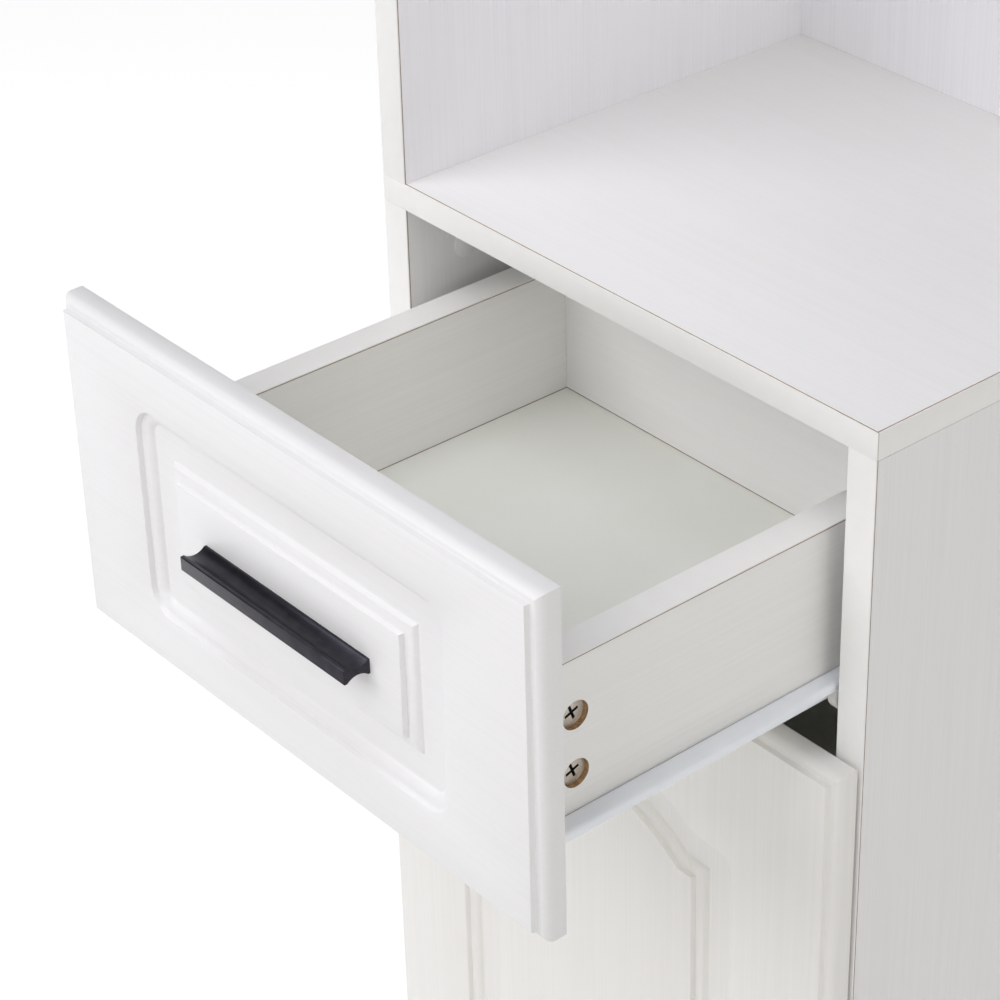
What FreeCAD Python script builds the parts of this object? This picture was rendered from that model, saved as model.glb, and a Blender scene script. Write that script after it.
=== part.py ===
import FreeCAD, Part
import math
import os

os.makedirs("parts", exist_ok=True)

Vector = FreeCAD.Vector

# Driving sizes, all in millimetres. x runs to the right, y to the wall behind, z up.
# While a piece is made, y is zero at the front edges of the boards and z is zero on the floor.
cabinet_width = 360.0
worktop_level = 860.0
upper_height = 700.0
side_thickness = 18.0
board_thickness = 15.0
back_thickness = 15.0
thin_board_thickness = 3.0
plinth_height = 65.0
plinth_setback = 40.0
glide_height = 5.0

# Fronts of the drawer and the door
front_thickness = 16.0
front_gap = 2.0
front_side_reveal = 1.0
front_spacing = 3.0
drawer_front_height = 186.0
drawer_front_rise = 1.0
door_bottom_level = 68.0

# Routing of the fronts
edge_round_radius = 6.0
routing_step = 1.8
routing_draft = 0.8
routing_ledge = 3.0
ovolo_radius = 5.0
routing_floor_width = 13.5
drawer_stile = 62.0
drawer_rail = 34.0
door_stile = 68.0
door_bottom_rail = 68.0
door_shoulder_drop = 86.0
arch_shoulder_length = 16.7
arch_rise_share = 1 / 3

# Drawer box and its travel
slide_gap = 12.5
drawer_side_thickness = 18.0
drawer_side_lift = 22.0
drawer_side_drop = 65.0
drawer_box_overhang = 35.0
drawer_rear_clearance = 5.0
drawer_floor_lift = 22.0

# Handles
handle_length = 127.0
handle_projection = 15.0
handle_half_height = 4.0
handle_waist_half_height = 1.6
handle_foot_thickness = 1.2
handle_lip_thickness = 2.0
handle_lip_round = 0.7
handle_hole_spacing = 96.0
handle_screw_depth = 3.6
door_handle_drop = 50.0

# Roller slides
slide_length = 250.0
steel_thickness = 1.2
channel_start_y = 2.0
bend_radius = 1.0
drawer_web_height = 15.0
drawer_flange_width = 10.5
drawer_lip_height = 4.4
lip_clearance = 0.7
under_flange_width = 14.0
channel_inner_height = 17.4
channel_flange_width = 9.2
roller_radius = 8.4
front_roller_radius = 10.4
front_roller_y = 13.0
rear_roller_inset = 12.0
roller_clearance = 0.3
open_roller_gap = 19.2
roller_notch_clearance = 1.0
roller_width = 6.4
roller_side_gap = 1.1
roller_hub_wall = 1.4
roller_rim_wall = 1.6
roller_rim_chamfer = 0.6
roller_dish_depth = 0.8
roller_tab_radius = 6.0
axle_radius = 2.5
rivet_head_radius = 4.0
rivet_head_height = 0.8
channel_screw_distance = 18.0
flange_screw_distance = 30.0
stop_lug_height = 2.0
stop_lug_length = 4.0
drawer_travel_left = 5.0

# Hinges of the door
hinge_edge_distance = 90.0
cup_radius = 17.5
cup_depth = 11.5
cup_wall = 1.0
cup_centre_inset = 22.5
cup_rim = 1.5
cup_flange_thickness = 1.2
cup_ear_width = 13.0
cup_ear_round = 5.0
cup_screw_offset = 9.5
cup_screw_spacing = 45.0
cup_screw_length = 11.0
hinge_plate_setback = 37.0
hinge_plate_length = 46.0
hinge_plate_height = 13.0
hinge_plate_thickness = 2.0
hinge_plate_screw_spacing = 32.0
hinge_wing_width = 16.0
hinge_wing_height = 46.0
hinge_wing_round = 4.0
hinge_arm_width = 12.0
hinge_arm_height = 11.0
hinge_arm_wall = 1.5
hinge_arm_end = 62.0
hinge_nose_depth = 7.0
hinge_nose_height = 7.0
hinge_nose_shoulder = 7.0

# Fittings
cam_radius = 7.5
cam_depth = 12.5
cam_setback = 32.0
cam_spacing = 32.0
cam_height_share = 0.517
cam_recess = 2.5
bolt_radius = 3.3
bolt_neck_radius = 1.9
bolt_neck_length = 3.0
bolt_head_length = 2.0
bolt_anchor_depth = 11.0
pin_radius = 2.5
pin_depth = 9.0
pin_reach = 8.0
pin_hole_spacing = 32.0
pin_hole_count = 5
pin_setback = 37.0
shelf_level = 360.0
shelf_front_setback = 20.0
shelf_side_clearance = 1.0
shelf_back_clearance = 5.0
upper_shelf_share = 0.5
upper_shelf_setback = 5.0
groove_depth = 6.0
drawer_groove_depth = 5.0
groove_clearance = 0.1
board_screw_radius = 2.5
board_screw_length = 50.0
board_screw_head_radius = 5.0
board_screw_head_height = 3.0
fitting_setback = 40.0
dowel_radius = 4.0
dowel_length = 30.0
dowel_flat_depth = 11.0
dowel_end_distance = 60.0
corner_block_size = 20.0
corner_block_height = 45.0
small_screw_radius = 1.75
small_screw_length = 13.0
small_screw_head_radius = 3.6
small_screw_head_height = 1.3
handle_screw_radius = 1.9
handle_screw_head_radius = 4.0
handle_screw_head_height = 2.4
bumper_radius = 4.0
bumper_clearance = 0.1
bumper_inset = 10.0
door_bumper_inset = 20.0
glide_radius = 8.5
glide_rim_chamfer = 1.5
glide_pin_radius = 1.5
glide_pin_length = 12.0
glide_setback = 30.0
wall_hole_radius = 3.0
wall_hole_spacing = 250.0
wall_hole_drop = 90.0
fit_clearance = 0.05
overrun = 5.0
joint_tolerance = 0.001

# Places worked out from the sizes above
half_width = cabinet_width / 2
drawer_box_length = slide_length + drawer_box_overhang
inner_depth = drawer_box_length + drawer_rear_clearance
inner_half_width = half_width - side_thickness
cabinet_depth = inner_depth + back_thickness
board_underside = worktop_level - board_thickness
upper_top = worktop_level + upper_height
front_half_width = half_width - front_side_reveal
front_back_y = -front_gap
open_roller_distance = front_roller_radius + open_roller_gap + roller_radius
drawer_travel = slide_length - rear_roller_inset + front_back_y - front_roller_y - open_roller_distance
drawer_top = worktop_level + drawer_front_rise
drawer_bottom = drawer_top - drawer_front_height
door_top = drawer_bottom - front_spacing
drawer_back_plane = front_back_y - drawer_travel
drawer_face_plane = drawer_back_plane - front_thickness
box_outer_half = inner_half_width - slide_gap
box_inner_half = box_outer_half - drawer_side_thickness
box_side_top = worktop_level - drawer_side_drop
box_side_bottom = drawer_bottom + drawer_side_lift
box_end_y = drawer_back_plane + drawer_box_length
drawer_floor_top = box_side_bottom + drawer_floor_lift
drawer_floor_underside = drawer_floor_top - thin_board_thickness
routing_depth = routing_step + ovolo_radius
routing_reach = ovolo_radius + routing_ledge + routing_draft
field_half_width = front_half_width - door_stile - routing_reach - routing_floor_width
arch_half_span = field_half_width - arch_shoulder_length
arch_rise = arch_half_span * arch_rise_share
arch_radius = (arch_half_span ** 2 + arch_rise ** 2) / (2 * arch_rise)
upper_shelf_top = worktop_level + upper_height * upper_shelf_share
thin_back_front = inner_depth - thin_board_thickness
cup_centre_x = front_half_width - cup_centre_inset
hinge_levels = (door_bottom_level + hinge_edge_distance, door_top - hinge_edge_distance)
cam_middle = box_side_bottom + (box_side_top - box_side_bottom) * cam_height_share
cam_levels = (cam_middle + cam_spacing / 2, cam_middle - cam_spacing / 2)
origin_y = (cabinet_depth + drawer_face_plane - handle_projection) / 2


# Shared shapes

def write(node, shape):
    """Write one node about the centre of the whole part's footprint."""
    moved = shape.copy()
    moved.translate(Vector(0, -origin_y, 0))
    moved.exportStep("parts/" + node + ".step")


def block(x_range, y_range, z_range):
    low = Vector(x_range[0], y_range[0], z_range[0])
    return Part.makeBox(
        x_range[1] - x_range[0], y_range[1] - y_range[0], z_range[1] - z_range[0], low
    )


def joined(shapes):
    """One solid from shapes that overlap or touch."""
    return shapes[0].multiFuse(shapes[1:]).removeSplitter()


def group(shapes):
    """Separate solids of one kind, kept in one node."""
    return Part.makeCompound(shapes)


def mirrored(shape):
    """The same shape on the other side of the cabinet."""
    return shape.mirror(Vector(0, 0, 0), Vector(1, 0, 0))


def both_sides(shape):
    return [shape, mirrored(shape)]


def rounded_wire(corners, place):
    """Closed outline from (u, v, radius) corners, with an arc at each corner that has a radius."""
    edges = []
    ends = []
    for index, (u, v, radius) in enumerate(corners):
        corner = Vector(u, v, 0)
        before = Vector(*corners[index - 1][:2], 0) - corner
        after = Vector(*corners[(index + 1) % len(corners)][:2], 0) - corner
        if radius == 0:
            ends.append((corner, corner, None))
            continue
        half_angle = before.getAngle(after) / 2
        before.normalize()
        after.normalize()
        reach = radius / math.tan(half_angle)
        middle_line = (before + after).normalize()
        centre = corner + middle_line * (radius / math.sin(half_angle))
        middle = centre - middle_line * radius
        ends.append((corner + before * reach, corner + after * reach, middle))
    for index, (start, end, middle) in enumerate(ends):
        if middle is not None:
            edges.append(Part.Arc(place(start), place(middle), place(end)).toShape())
        following = ends[(index + 1) % len(ends)][0]
        if not end.isEqual(following, joint_tolerance):
            edges.append(Part.LineSegment(place(end), place(following)).toShape())
    return Part.Wire(edges)


def on_front(point):
    """A flat point (across, up) set in the upright plane y = 0."""
    return Vector(point.x, 0, point.y)


def screw(point, direction, sizes, head_sizes):
    """A screw from its seat: shank forward along direction, round head behind the seat."""
    radius, length = sizes
    head_radius, head_height = head_sizes
    shank = Part.makeCylinder(radius, length, point, direction)
    head = Part.makeCylinder(head_radius, head_height, point, -direction)
    return joined([shank, head])


def bore(point, direction, radius, length):
    """Cutting rod that starts one overrun before the face it enters."""
    start = point - direction * overrun
    return Part.makeCylinder(radius + fit_clearance, length + overrun, start, direction)


def screw_bores(points, direction, length):
    """Holes for small screws, as deep as length."""
    return [bore(point, direction, small_screw_radius, length) for point in points]


def mirrored_pair(distance):
    """The two places at half a distance either side of a middle."""
    return (-distance / 2, distance / 2)


small_shank = (small_screw_radius, small_screw_length)
small_head = (small_screw_head_radius, small_screw_head_height)
board_shank = (board_screw_radius, board_screw_length)
board_head = (board_screw_head_radius, board_screw_head_height)
to_right = Vector(1, 0, 0)
to_left = Vector(-1, 0, 0)
to_back = Vector(0, 1, 0)
to_front = Vector(0, -1, 0)
upward = Vector(0, 0, 1)
downward = Vector(0, 0, -1)


# Routed fronts

def cutter_section(whole):
    """Section of the routing bit: a step, a ledge and a quarter round down to a pointed tip."""
    foot = Vector(0, routing_depth, 0)
    ledge_in = Vector(ovolo_radius, routing_step, 0)
    ledge_out = Vector(ovolo_radius + routing_ledge, routing_step, 0)
    lip = Vector(routing_reach, 0, 0)
    rim = Vector(routing_reach, -overrun, 0)
    bow = ovolo_radius * math.sin(math.pi / 4)
    bulge = Vector(ovolo_radius - bow, routing_depth - bow, 0)

    def half(sign):
        def place(point):
            return Vector(sign * point.x, point.y, 0)
        return [
            Part.Arc(place(foot), place(bulge), place(ledge_in)).toShape(),
            Part.LineSegment(place(ledge_in), place(ledge_out)).toShape(),
            Part.LineSegment(place(ledge_out), place(lip)).toShape(),
            Part.LineSegment(place(lip), place(rim)).toShape(),
        ]

    axis_top = Vector(0, -overrun, 0)
    if whole:
        left_rim = Vector(-routing_reach, -overrun, 0)
        closing = [Part.LineSegment(rim, left_rim).toShape()]
        edges = half(1) + closing + half(-1)
    else:
        closing = [Part.LineSegment(rim, axis_top).toShape(), Part.LineSegment(axis_top, foot).toShape()]
        edges = half(1) + closing
    return Part.Face(Part.Wire(Part.__sortEdges__(edges)))


def routed_run(start, end):
    """Groove left by the bit between two points of the front's face."""
    run = end - start
    section = cutter_section(True)
    section.rotate(Vector(0, 0, 0), Vector(0, 1, 0), -math.degrees(math.atan2(run.z, run.x)) + 90)
    section.translate(start)
    return section.extrude(run)


def routed_bend(centre, radius, start_angle, sweep):
    """Groove left by the bit on an arc about centre, with angles in degrees from +x towards +z."""
    section = cutter_section(True)
    section.translate(Vector(radius, 0, 0))
    turned = section.revolve(Vector(0, 0, 0), Vector(0, -1, 0), sweep)
    turned.rotate(Vector(0, 0, 0), Vector(0, -1, 0), start_angle)
    turned.translate(centre)
    return turned


def routed_turn(point):
    """The round left by the bit where the path turns a corner."""
    turn = cutter_section(False).revolve(Vector(0, 0, 0), Vector(0, 1, 0), 360)
    turn.translate(point)
    return turn


def box_path(half_across, low, high):
    """Corners of an upright rectangle, from the bottom left, against the clock seen from behind."""
    return [
        Vector(-half_across, 0, low),
        Vector(half_across, 0, low),
        Vector(half_across, 0, high),
        Vector(-half_across, 0, high),
    ]


def routed_path(points, open_side=None):
    """Groove along a closed path of points, without the run that starts at point open_side."""
    pieces = [routed_turn(point) for point in points]
    for index, point in enumerate(points):
        if index != open_side:
            pieces.append(routed_run(point, points[(index + 1) % len(points)]))
    return pieces


def panel_plate(points, bulge=None):
    """Plate inside a path down to the routing's floor, with an arc over the top where bulge is given."""
    edges = []
    for index, point in enumerate(points):
        following = points[(index + 1) % len(points)]
        if bulge is not None and index == bulge[0]:
            edges.append(Part.Arc(point, bulge[1], following).toShape())
        else:
            edges.append(Part.LineSegment(point, following).toShape())
    plate = Part.Face(Part.Wire(edges))
    plate.translate(Vector(0, -overrun, 0))
    return plate.extrude(Vector(0, routing_depth + overrun, 0))


def edge_waste(length):
    """What the edge bit takes off a rim that lies along x at z = 0 with the front below it."""
    bow = edge_round_radius * (1 - math.sin(math.pi / 4))
    corners = [
        Vector(0, -overrun, -edge_round_radius),
        Vector(0, routing_step, -edge_round_radius),
        Vector(0, routing_step + bow, -bow),
        Vector(0, routing_step + edge_round_radius, 0),
        Vector(0, routing_step + edge_round_radius, overrun),
        Vector(0, -overrun, overrun),
    ]
    edges = [
        Part.LineSegment(corners[0], corners[1]).toShape(),
        Part.Arc(corners[1], corners[2], corners[3]).toShape(),
        Part.LineSegment(corners[3], corners[4]).toShape(),
        Part.LineSegment(corners[4], corners[5]).toShape(),
        Part.LineSegment(corners[5], corners[0]).toShape(),
    ]
    waste = Part.Face(Part.Wire(edges)).extrude(Vector(length + 2 * overrun, 0, 0))
    waste.translate(Vector(-length / 2 - overrun, 0, 0))
    return waste


def plain_front(half_across, low, high):
    """A front with its rounded and stepped rim, its face at y = 0 and its middle at x = 0."""
    slab = block((-half_across, half_across), (0, front_thickness), (low, high))
    middle = (low + high) / 2
    half_up = (high - low) / 2
    wastes = []
    for turn, reach, length in (
        (0, half_up, 2 * half_across),
        (90, half_across, 2 * half_up),
        (180, half_up, 2 * half_across),
        (270, half_across, 2 * half_up),
    ):
        waste = edge_waste(length)
        waste.translate(Vector(0, 0, reach))
        waste.rotate(Vector(0, 0, 0), Vector(0, 1, 0), turn)
        waste.translate(Vector(0, 0, middle))
        wastes.append(waste)
    return slab.cut(wastes)


def inset(low, high, amount):
    return low + amount, high - amount


def drawer_routing():
    """Cut of the drawer front: a frame groove with round outer corners about a mitred raised field."""
    foot_across = front_half_width - drawer_stile - routing_reach
    foot_low, foot_high = inset(drawer_bottom, drawer_top, drawer_rail + routing_reach)
    outer = box_path(foot_across, foot_low, foot_high)
    field_low, field_high = inset(foot_low, foot_high, routing_floor_width)
    inner = box_path(foot_across - routing_floor_width, field_low, field_high)
    floor = panel_plate(outer).cut(panel_plate(inner))
    return routed_path(outer) + routed_path(inner) + [floor]


def arched_path(grow):
    """Foot line of the door's field, grown outwards by grow, with the arch's middle point."""
    foot_across = field_half_width + grow
    low = door_bottom_level + door_bottom_rail + routing_reach + routing_floor_width - grow
    field_shoulder = door_top - door_shoulder_drop - routing_reach - routing_floor_width
    arch_centre = field_shoulder - math.sqrt(arch_radius ** 2 - arch_half_span ** 2)
    radius = arch_radius + grow
    shoulder = field_shoulder + grow
    spring = math.sqrt(radius ** 2 - (shoulder - arch_centre) ** 2)
    points = [
        Vector(-foot_across, 0, low),
        Vector(foot_across, 0, low),
        Vector(foot_across, 0, shoulder),
        Vector(spring, 0, shoulder),
        Vector(-spring, 0, shoulder),
        Vector(-foot_across, 0, shoulder),
    ]
    return points, Vector(0, 0, arch_centre), radius


def arched_routing(grow):
    """The path's points, its grooves and the plate inside it."""
    points, centre, radius = arched_path(grow)
    spring_index = 3
    spring_point = points[spring_index]
    start_angle = math.degrees(math.atan2(spring_point.z - centre.z, spring_point.x))
    pieces = routed_path(points, spring_index)
    pieces.append(routed_bend(centre, radius, start_angle, 180 - 2 * start_angle))
    crown = centre + Vector(0, 0, radius)
    return pieces, panel_plate(points, (spring_index, crown))


def door_routing():
    """Cut of the door: a cathedral arch about its raised field."""
    outer_pieces, outer_plate = arched_routing(routing_floor_width)
    inner_pieces, inner_plate = arched_routing(0)
    return outer_pieces + inner_pieces + [outer_plate.cut(inner_plate)]


# Fittings

def cam_fitting(seat, inward, along, axis_depth):
    """Cam and bolt that pull a board against its neighbour.

    seat is the cam's centre on the board's face, inward points into the board, and along
    points to the neighbour. The cuts are the cam's pocket, the bolt's bore and its anchor hole.
    """
    axis_point = seat + inward * axis_depth
    joint = axis_point + along * cam_setback
    shank_length = cam_setback - cam_radius
    neck_start = joint - along * shank_length
    head_start = neck_start - along * bolt_neck_length
    bolt = joined([
        Part.makeCylinder(bolt_radius, shank_length + bolt_anchor_depth, neck_start, along),
        Part.makeCylinder(bolt_neck_radius, bolt_neck_length, head_start, along),
        Part.makeCylinder(bolt_radius, bolt_head_length, head_start, -along),
    ])
    disc = Part.makeCylinder(cam_radius, cam_depth - cam_recess, seat + inward * cam_recess, inward)
    slot_end = bolt_head_length + bolt_neck_length
    slot_start = neck_start - along * (slot_end + fit_clearance)
    slot = Part.makeCylinder(bolt_radius + fit_clearance, slot_end + overrun, slot_start, along)
    return {
        "cam": disc.cut(slot),
        "bolt": bolt,
        "pocket": bore(seat, inward, cam_radius, cam_depth),
        "shank_bore": bore(joint, -along, bolt_radius, cam_setback),
        "anchor_hole": bore(joint, along, bolt_radius, bolt_anchor_depth),
    }


def drawer_cams():
    """Fittings that hold the drawer front, on the right side of the box."""
    y = drawer_back_plane + cam_setback
    seats = [Vector(box_outer_half, y, level) for level in cam_levels]
    return [cam_fitting(seat, to_left, to_front, drawer_side_thickness / 2) for seat in seats]


def top_cams():
    """Fittings that pull the middle board down on the right lower side."""
    level = board_underside - cam_setback
    seats = [Vector(inner_half_width, y, level) for y in fitting_rows()]
    return [cam_fitting(seat, to_right, upward, side_thickness / 2) for seat in seats]


def floor_cams():
    """Fittings under the bottom board that pull on the right lower side."""
    x = inner_half_width - cam_setback
    seats = [Vector(x, y, plinth_height) for y in fitting_rows()]
    return [cam_fitting(seat, upward, to_right, board_thickness / 2) for seat in seats]


def fitting_rows():
    return (fitting_setback, inner_depth - fitting_setback)


def fitting_parts(fittings, name):
    return [fitting[name] for fitting in fittings]


def doubled(shapes):
    """The shapes and their mirror images, right ones first."""
    return shapes + [mirrored(shape) for shape in shapes]


def dowel_rows(first, last):
    """Three places along a joint, drawn in from both ends."""
    middle = (first + last) / 2
    return (first + dowel_end_distance, middle, last - dowel_end_distance)


def dowel_joints():
    """Joint points of the dowels and the way each one runs into the upright board."""
    joints = []
    left_x = side_thickness / 2 - half_width
    back_y = inner_depth + back_thickness / 2
    for level, direction in ((worktop_level, upward), (upper_top, downward)):
        joints += [(Vector(left_x, y, level), direction) for y in dowel_rows(0, inner_depth)]
        back_rows = dowel_rows(-inner_half_width, half_width)
        joints += [(Vector(x, back_y, level), direction) for x in back_rows]
    return joints


def dowels():
    return [
        Part.makeCylinder(dowel_radius, dowel_length, point - direction * dowel_flat_depth, direction)
        for point, direction in dowel_joints()
    ]


def dowel_holes():
    return [
        Part.makeCylinder(
            dowel_radius + fit_clearance,
            dowel_length + 2 * fit_clearance,
            point - direction * (dowel_flat_depth + fit_clearance),
            direction,
        )
        for point, direction in dowel_joints()
    ]


def board_screw_seats():
    """Flush screws of the upper part: the seat under each head and the way the screw runs."""
    sunk = board_screw_head_height
    back_y = inner_depth + back_thickness / 2
    seats = []
    for z in dowel_rows(worktop_level, upper_top):
        seats.append((Vector(sunk - half_width, back_y, z), to_right))
    shelf_middle = upper_shelf_top - board_thickness / 2
    for y in fitting_rows():
        seats.append((Vector(sunk - half_width, y, shelf_middle), to_right))
    for x in dowel_rows(-inner_half_width, half_width):
        seats.append((Vector(x, cabinet_depth - sunk, shelf_middle), to_front))
    return seats


def board_screws():
    return [screw(point, direction, board_shank, board_head) for point, direction in board_screw_seats()]


def board_screw_cuts():
    """Pilot holes and head pockets of the flush screws."""
    cuts = []
    for point, direction in board_screw_seats():
        cuts.append(Part.makeCylinder(
            board_screw_radius + fit_clearance, board_screw_length + fit_clearance, point, direction
        ))
        cuts.append(Part.makeCylinder(
            board_screw_head_radius + fit_clearance, board_screw_head_height + overrun, point, -direction
        ))
    return cuts


# Carcass

def pin_points():
    """Mouths of the shelf-pin holes in the right lower side, row by row from the front column."""
    rows = range(-(pin_hole_count // 2), pin_hole_count // 2 + 1)
    ys = (pin_setback, thin_back_front - pin_setback)
    level = shelf_level - board_thickness - pin_radius
    return [Vector(inner_half_width, y, level + row * pin_hole_spacing) for y in ys for row in rows]


def used_pin_points():
    """The middle row, where the shelf lies."""
    points = pin_points()
    middle = pin_hole_count // 2
    return [points[middle], points[middle + pin_hole_count]]


def glide_points():
    x = half_width - side_thickness / 2
    return [Vector(x, y, glide_height) for y in (glide_setback, cabinet_depth - glide_setback)]


def lower_side():
    """The right lower side with its back groove and the holes of its fittings."""
    side = block((inner_half_width, half_width), (0, cabinet_depth), (glide_height, board_underside))
    groove = block(
        (inner_half_width - overrun, inner_half_width + groove_depth),
        (thin_back_front - groove_clearance, inner_depth + groove_clearance),
        (plinth_height, board_underside + overrun),
    )
    cuts = [groove]
    cuts += [bore(point, to_right, pin_radius, pin_depth) for point in pin_points()]
    cuts += screw_bores(channel_screw_points(), to_right, small_screw_length)
    cuts += fitting_parts(top_cams(), "pocket") + fitting_parts(top_cams(), "shank_bore")
    cuts += fitting_parts(floor_cams(), "anchor_hole")
    cuts += [bore(point, upward, glide_pin_radius, glide_pin_length) for point in glide_points()]
    return side.cut(cuts)


def hinge_side():
    """The right lower side also takes the screws of the hinge plates."""
    return lower_side().cut(screw_bores(hinge_plate_screw_points(), to_right, small_screw_length))


def middle_board():
    """The board over the drawer, as wide as the cabinet and open above at the front and the right."""
    board = block((-half_width, half_width), (0, cabinet_depth), (board_underside, worktop_level))
    reach = inner_half_width + groove_depth
    groove = block(
        (-reach, reach),
        (thin_back_front - groove_clearance, inner_depth + groove_clearance),
        (board_underside - overrun, board_underside + groove_depth),
    )
    return board.cut([groove] + doubled(fitting_parts(top_cams(), "anchor_hole")) + dowel_holes())


def bottom_board():
    board = block(
        (-inner_half_width, inner_half_width),
        (0, thin_back_front),
        (plinth_height, plinth_height + board_thickness),
    )
    fittings = floor_cams()
    return board.cut(doubled(fitting_parts(fittings, "pocket") + fitting_parts(fittings, "shank_bore")))


def plinth():
    return block(
        (-inner_half_width, inner_half_width),
        (plinth_setback, plinth_setback + board_thickness),
        (glide_height, plinth_height),
    )


def plinth_blocks():
    """Corner blocks behind the plinth, under the bottom board and against the sides."""
    back = plinth_setback + board_thickness
    right = block(
        (inner_half_width - corner_block_size, inner_half_width),
        (back, back + corner_block_size),
        (plinth_height - corner_block_height, plinth_height),
    )
    return both_sides(right)


def lower_back():
    """Thin back panel, held in the grooves of the sides and the middle board."""
    reach = inner_half_width + groove_depth - groove_clearance
    return block(
        (-reach, reach),
        (thin_back_front, inner_depth),
        (plinth_height, board_underside + groove_depth - groove_clearance),
    )


def cupboard_shelf():
    reach = inner_half_width - shelf_side_clearance
    return block(
        (-reach, reach),
        (shelf_front_setback, thin_back_front - shelf_back_clearance),
        (shelf_level - board_thickness, shelf_level),
    )


def shelf_pins():
    return doubled([
        Part.makeCylinder(pin_radius, pin_depth + pin_reach, point + to_right * pin_depth, to_left)
        for point in used_pin_points()
    ])


def glides():
    """Nail-on glides under the sides, with a chamfered rim."""
    pieces = []
    for point in glide_points():
        foot = Part.makeCylinder(glide_radius, glide_height, point, downward)
        rim = [edge for edge in foot.Edges if edge.BoundBox.ZMax < fit_clearance]
        foot = foot.makeChamfer(glide_rim_chamfer, rim)
        nail = Part.makeCylinder(glide_pin_radius, glide_pin_length, point, upward)
        pieces.append(joined([foot, nail]))
    return doubled(pieces)


def upper_side():
    """The upright board of the open upper part, on the left."""
    side = block((-half_width, -inner_half_width), (0, cabinet_depth), (worktop_level, upper_top))
    return side.cut(dowel_holes() + board_screw_cuts())


def upper_back():
    """The back of the open upper part, with its two wall-fixing holes."""
    back = block((-inner_half_width, half_width), (inner_depth, cabinet_depth), (worktop_level, upper_top))
    level = upper_top - wall_hole_drop
    length = back_thickness + 2 * overrun
    starts = [Vector(x, cabinet_depth + overrun, level) for x in mirrored_pair(wall_hole_spacing)]
    holes = [Part.makeCylinder(wall_hole_radius, length, start, to_front) for start in starts]
    return back.cut(holes + dowel_holes() + board_screw_cuts())


def upper_shelf():
    shelf = block(
        (-inner_half_width, half_width),
        (upper_shelf_setback, inner_depth),
        (upper_shelf_top - board_thickness, upper_shelf_top),
    )
    return shelf.cut(board_screw_cuts())


def top_board():
    board = block((-half_width, half_width), (0, cabinet_depth), (upper_top, upper_top + board_thickness))
    return board.cut(dowel_holes())


# Drawer

def drawer_side():
    """The right side of the box, with its floor groove and the cam pockets behind the front."""
    side = block(
        (box_inner_half, box_outer_half),
        (drawer_back_plane, box_end_y),
        (box_side_bottom, box_side_top),
    )
    groove = floor_groove(
        (box_inner_half - overrun, box_inner_half + drawer_groove_depth),
        (drawer_back_plane - overrun, box_end_y - board_thickness + drawer_groove_depth),
    )
    cuts = [groove]
    cuts += fitting_parts(drawer_cams(), "pocket") + fitting_parts(drawer_cams(), "shank_bore")
    cuts += screw_bores(flange_screw_points(), upward, steel_thickness + small_screw_length)
    cuts += drawer_back_screw_cuts()
    return side.cut(cuts)


def floor_groove(x_range, y_range):
    return block(
        x_range,
        y_range,
        (drawer_floor_underside - groove_clearance, drawer_floor_top + groove_clearance),
    )


def drawer_back():
    back = block(
        (-box_inner_half, box_inner_half),
        (box_end_y - board_thickness, box_end_y),
        (box_side_bottom, box_side_top),
    )
    start = box_end_y - board_thickness - overrun
    reach = box_inner_half + overrun
    groove = floor_groove((-reach, reach), (start, start + overrun + drawer_groove_depth))
    return back.cut([groove] + doubled(drawer_back_screw_cuts()))


def drawer_floor():
    """Thin floor held in grooves all round."""
    reach = drawer_groove_depth - groove_clearance
    return block(
        (-box_inner_half - reach, box_inner_half + reach),
        (drawer_back_plane - reach, box_end_y - board_thickness + reach),
        (drawer_floor_underside, drawer_floor_top),
    )


def drawer_front():
    """Routed drawer front with the groove of the floor and the holes of its fittings behind."""
    front = plain_front(front_half_width, drawer_bottom, drawer_top).cut(drawer_routing())
    front.translate(Vector(0, drawer_face_plane, 0))
    reach = box_inner_half + drawer_groove_depth
    groove_bottom = drawer_back_plane - drawer_groove_depth
    groove = floor_groove((-reach, reach), (groove_bottom, drawer_back_plane + overrun))
    cuts = [groove] + doubled(fitting_parts(drawer_cams(), "anchor_hole"))
    cuts += handle_screw_holes(drawer_handle_points())
    return front.cut(cuts)


def drawer_back_screw_seats():
    """Seats of the screws that hold the box's back from the right side."""
    y = box_end_y - board_thickness / 2
    x = box_outer_half - board_screw_head_height
    return [Vector(x, y, level) for level in cam_levels]


def drawer_back_screw_cuts():
    cuts = []
    for point in drawer_back_screw_seats():
        cuts.append(Part.makeCylinder(
            board_screw_radius + fit_clearance, board_screw_length + fit_clearance, point, to_left
        ))
        cuts.append(Part.makeCylinder(
            board_screw_head_radius + fit_clearance, board_screw_head_height + overrun, point, to_right
        ))
    return cuts


# Door

def door_leaf():
    """Routed door with the cups and screw holes of its hinges and the holes of its handle."""
    leaf = plain_front(front_half_width, door_bottom_level, door_top).cut(door_routing())
    leaf.translate(Vector(0, front_back_y - front_thickness, 0))
    cuts = [bore(point, to_front, cup_radius, cup_depth) for point in cup_points()]
    cuts += screw_bores(cup_screw_points(0), to_front, cup_screw_length)
    cuts += handle_screw_holes(door_handle_points())
    return leaf.cut(cuts)


def cup_points():
    return [Vector(cup_centre_x, front_back_y, level) for level in hinge_levels]


def cup_screw_points(stand_off):
    """Seats of the cup screws, stand_off behind the door."""
    x = cup_centre_x - cup_screw_offset
    y = front_back_y + stand_off
    offsets = mirrored_pair(cup_screw_spacing)
    return [Vector(x, y, level + offset) for level in hinge_levels for offset in offsets]


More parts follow.
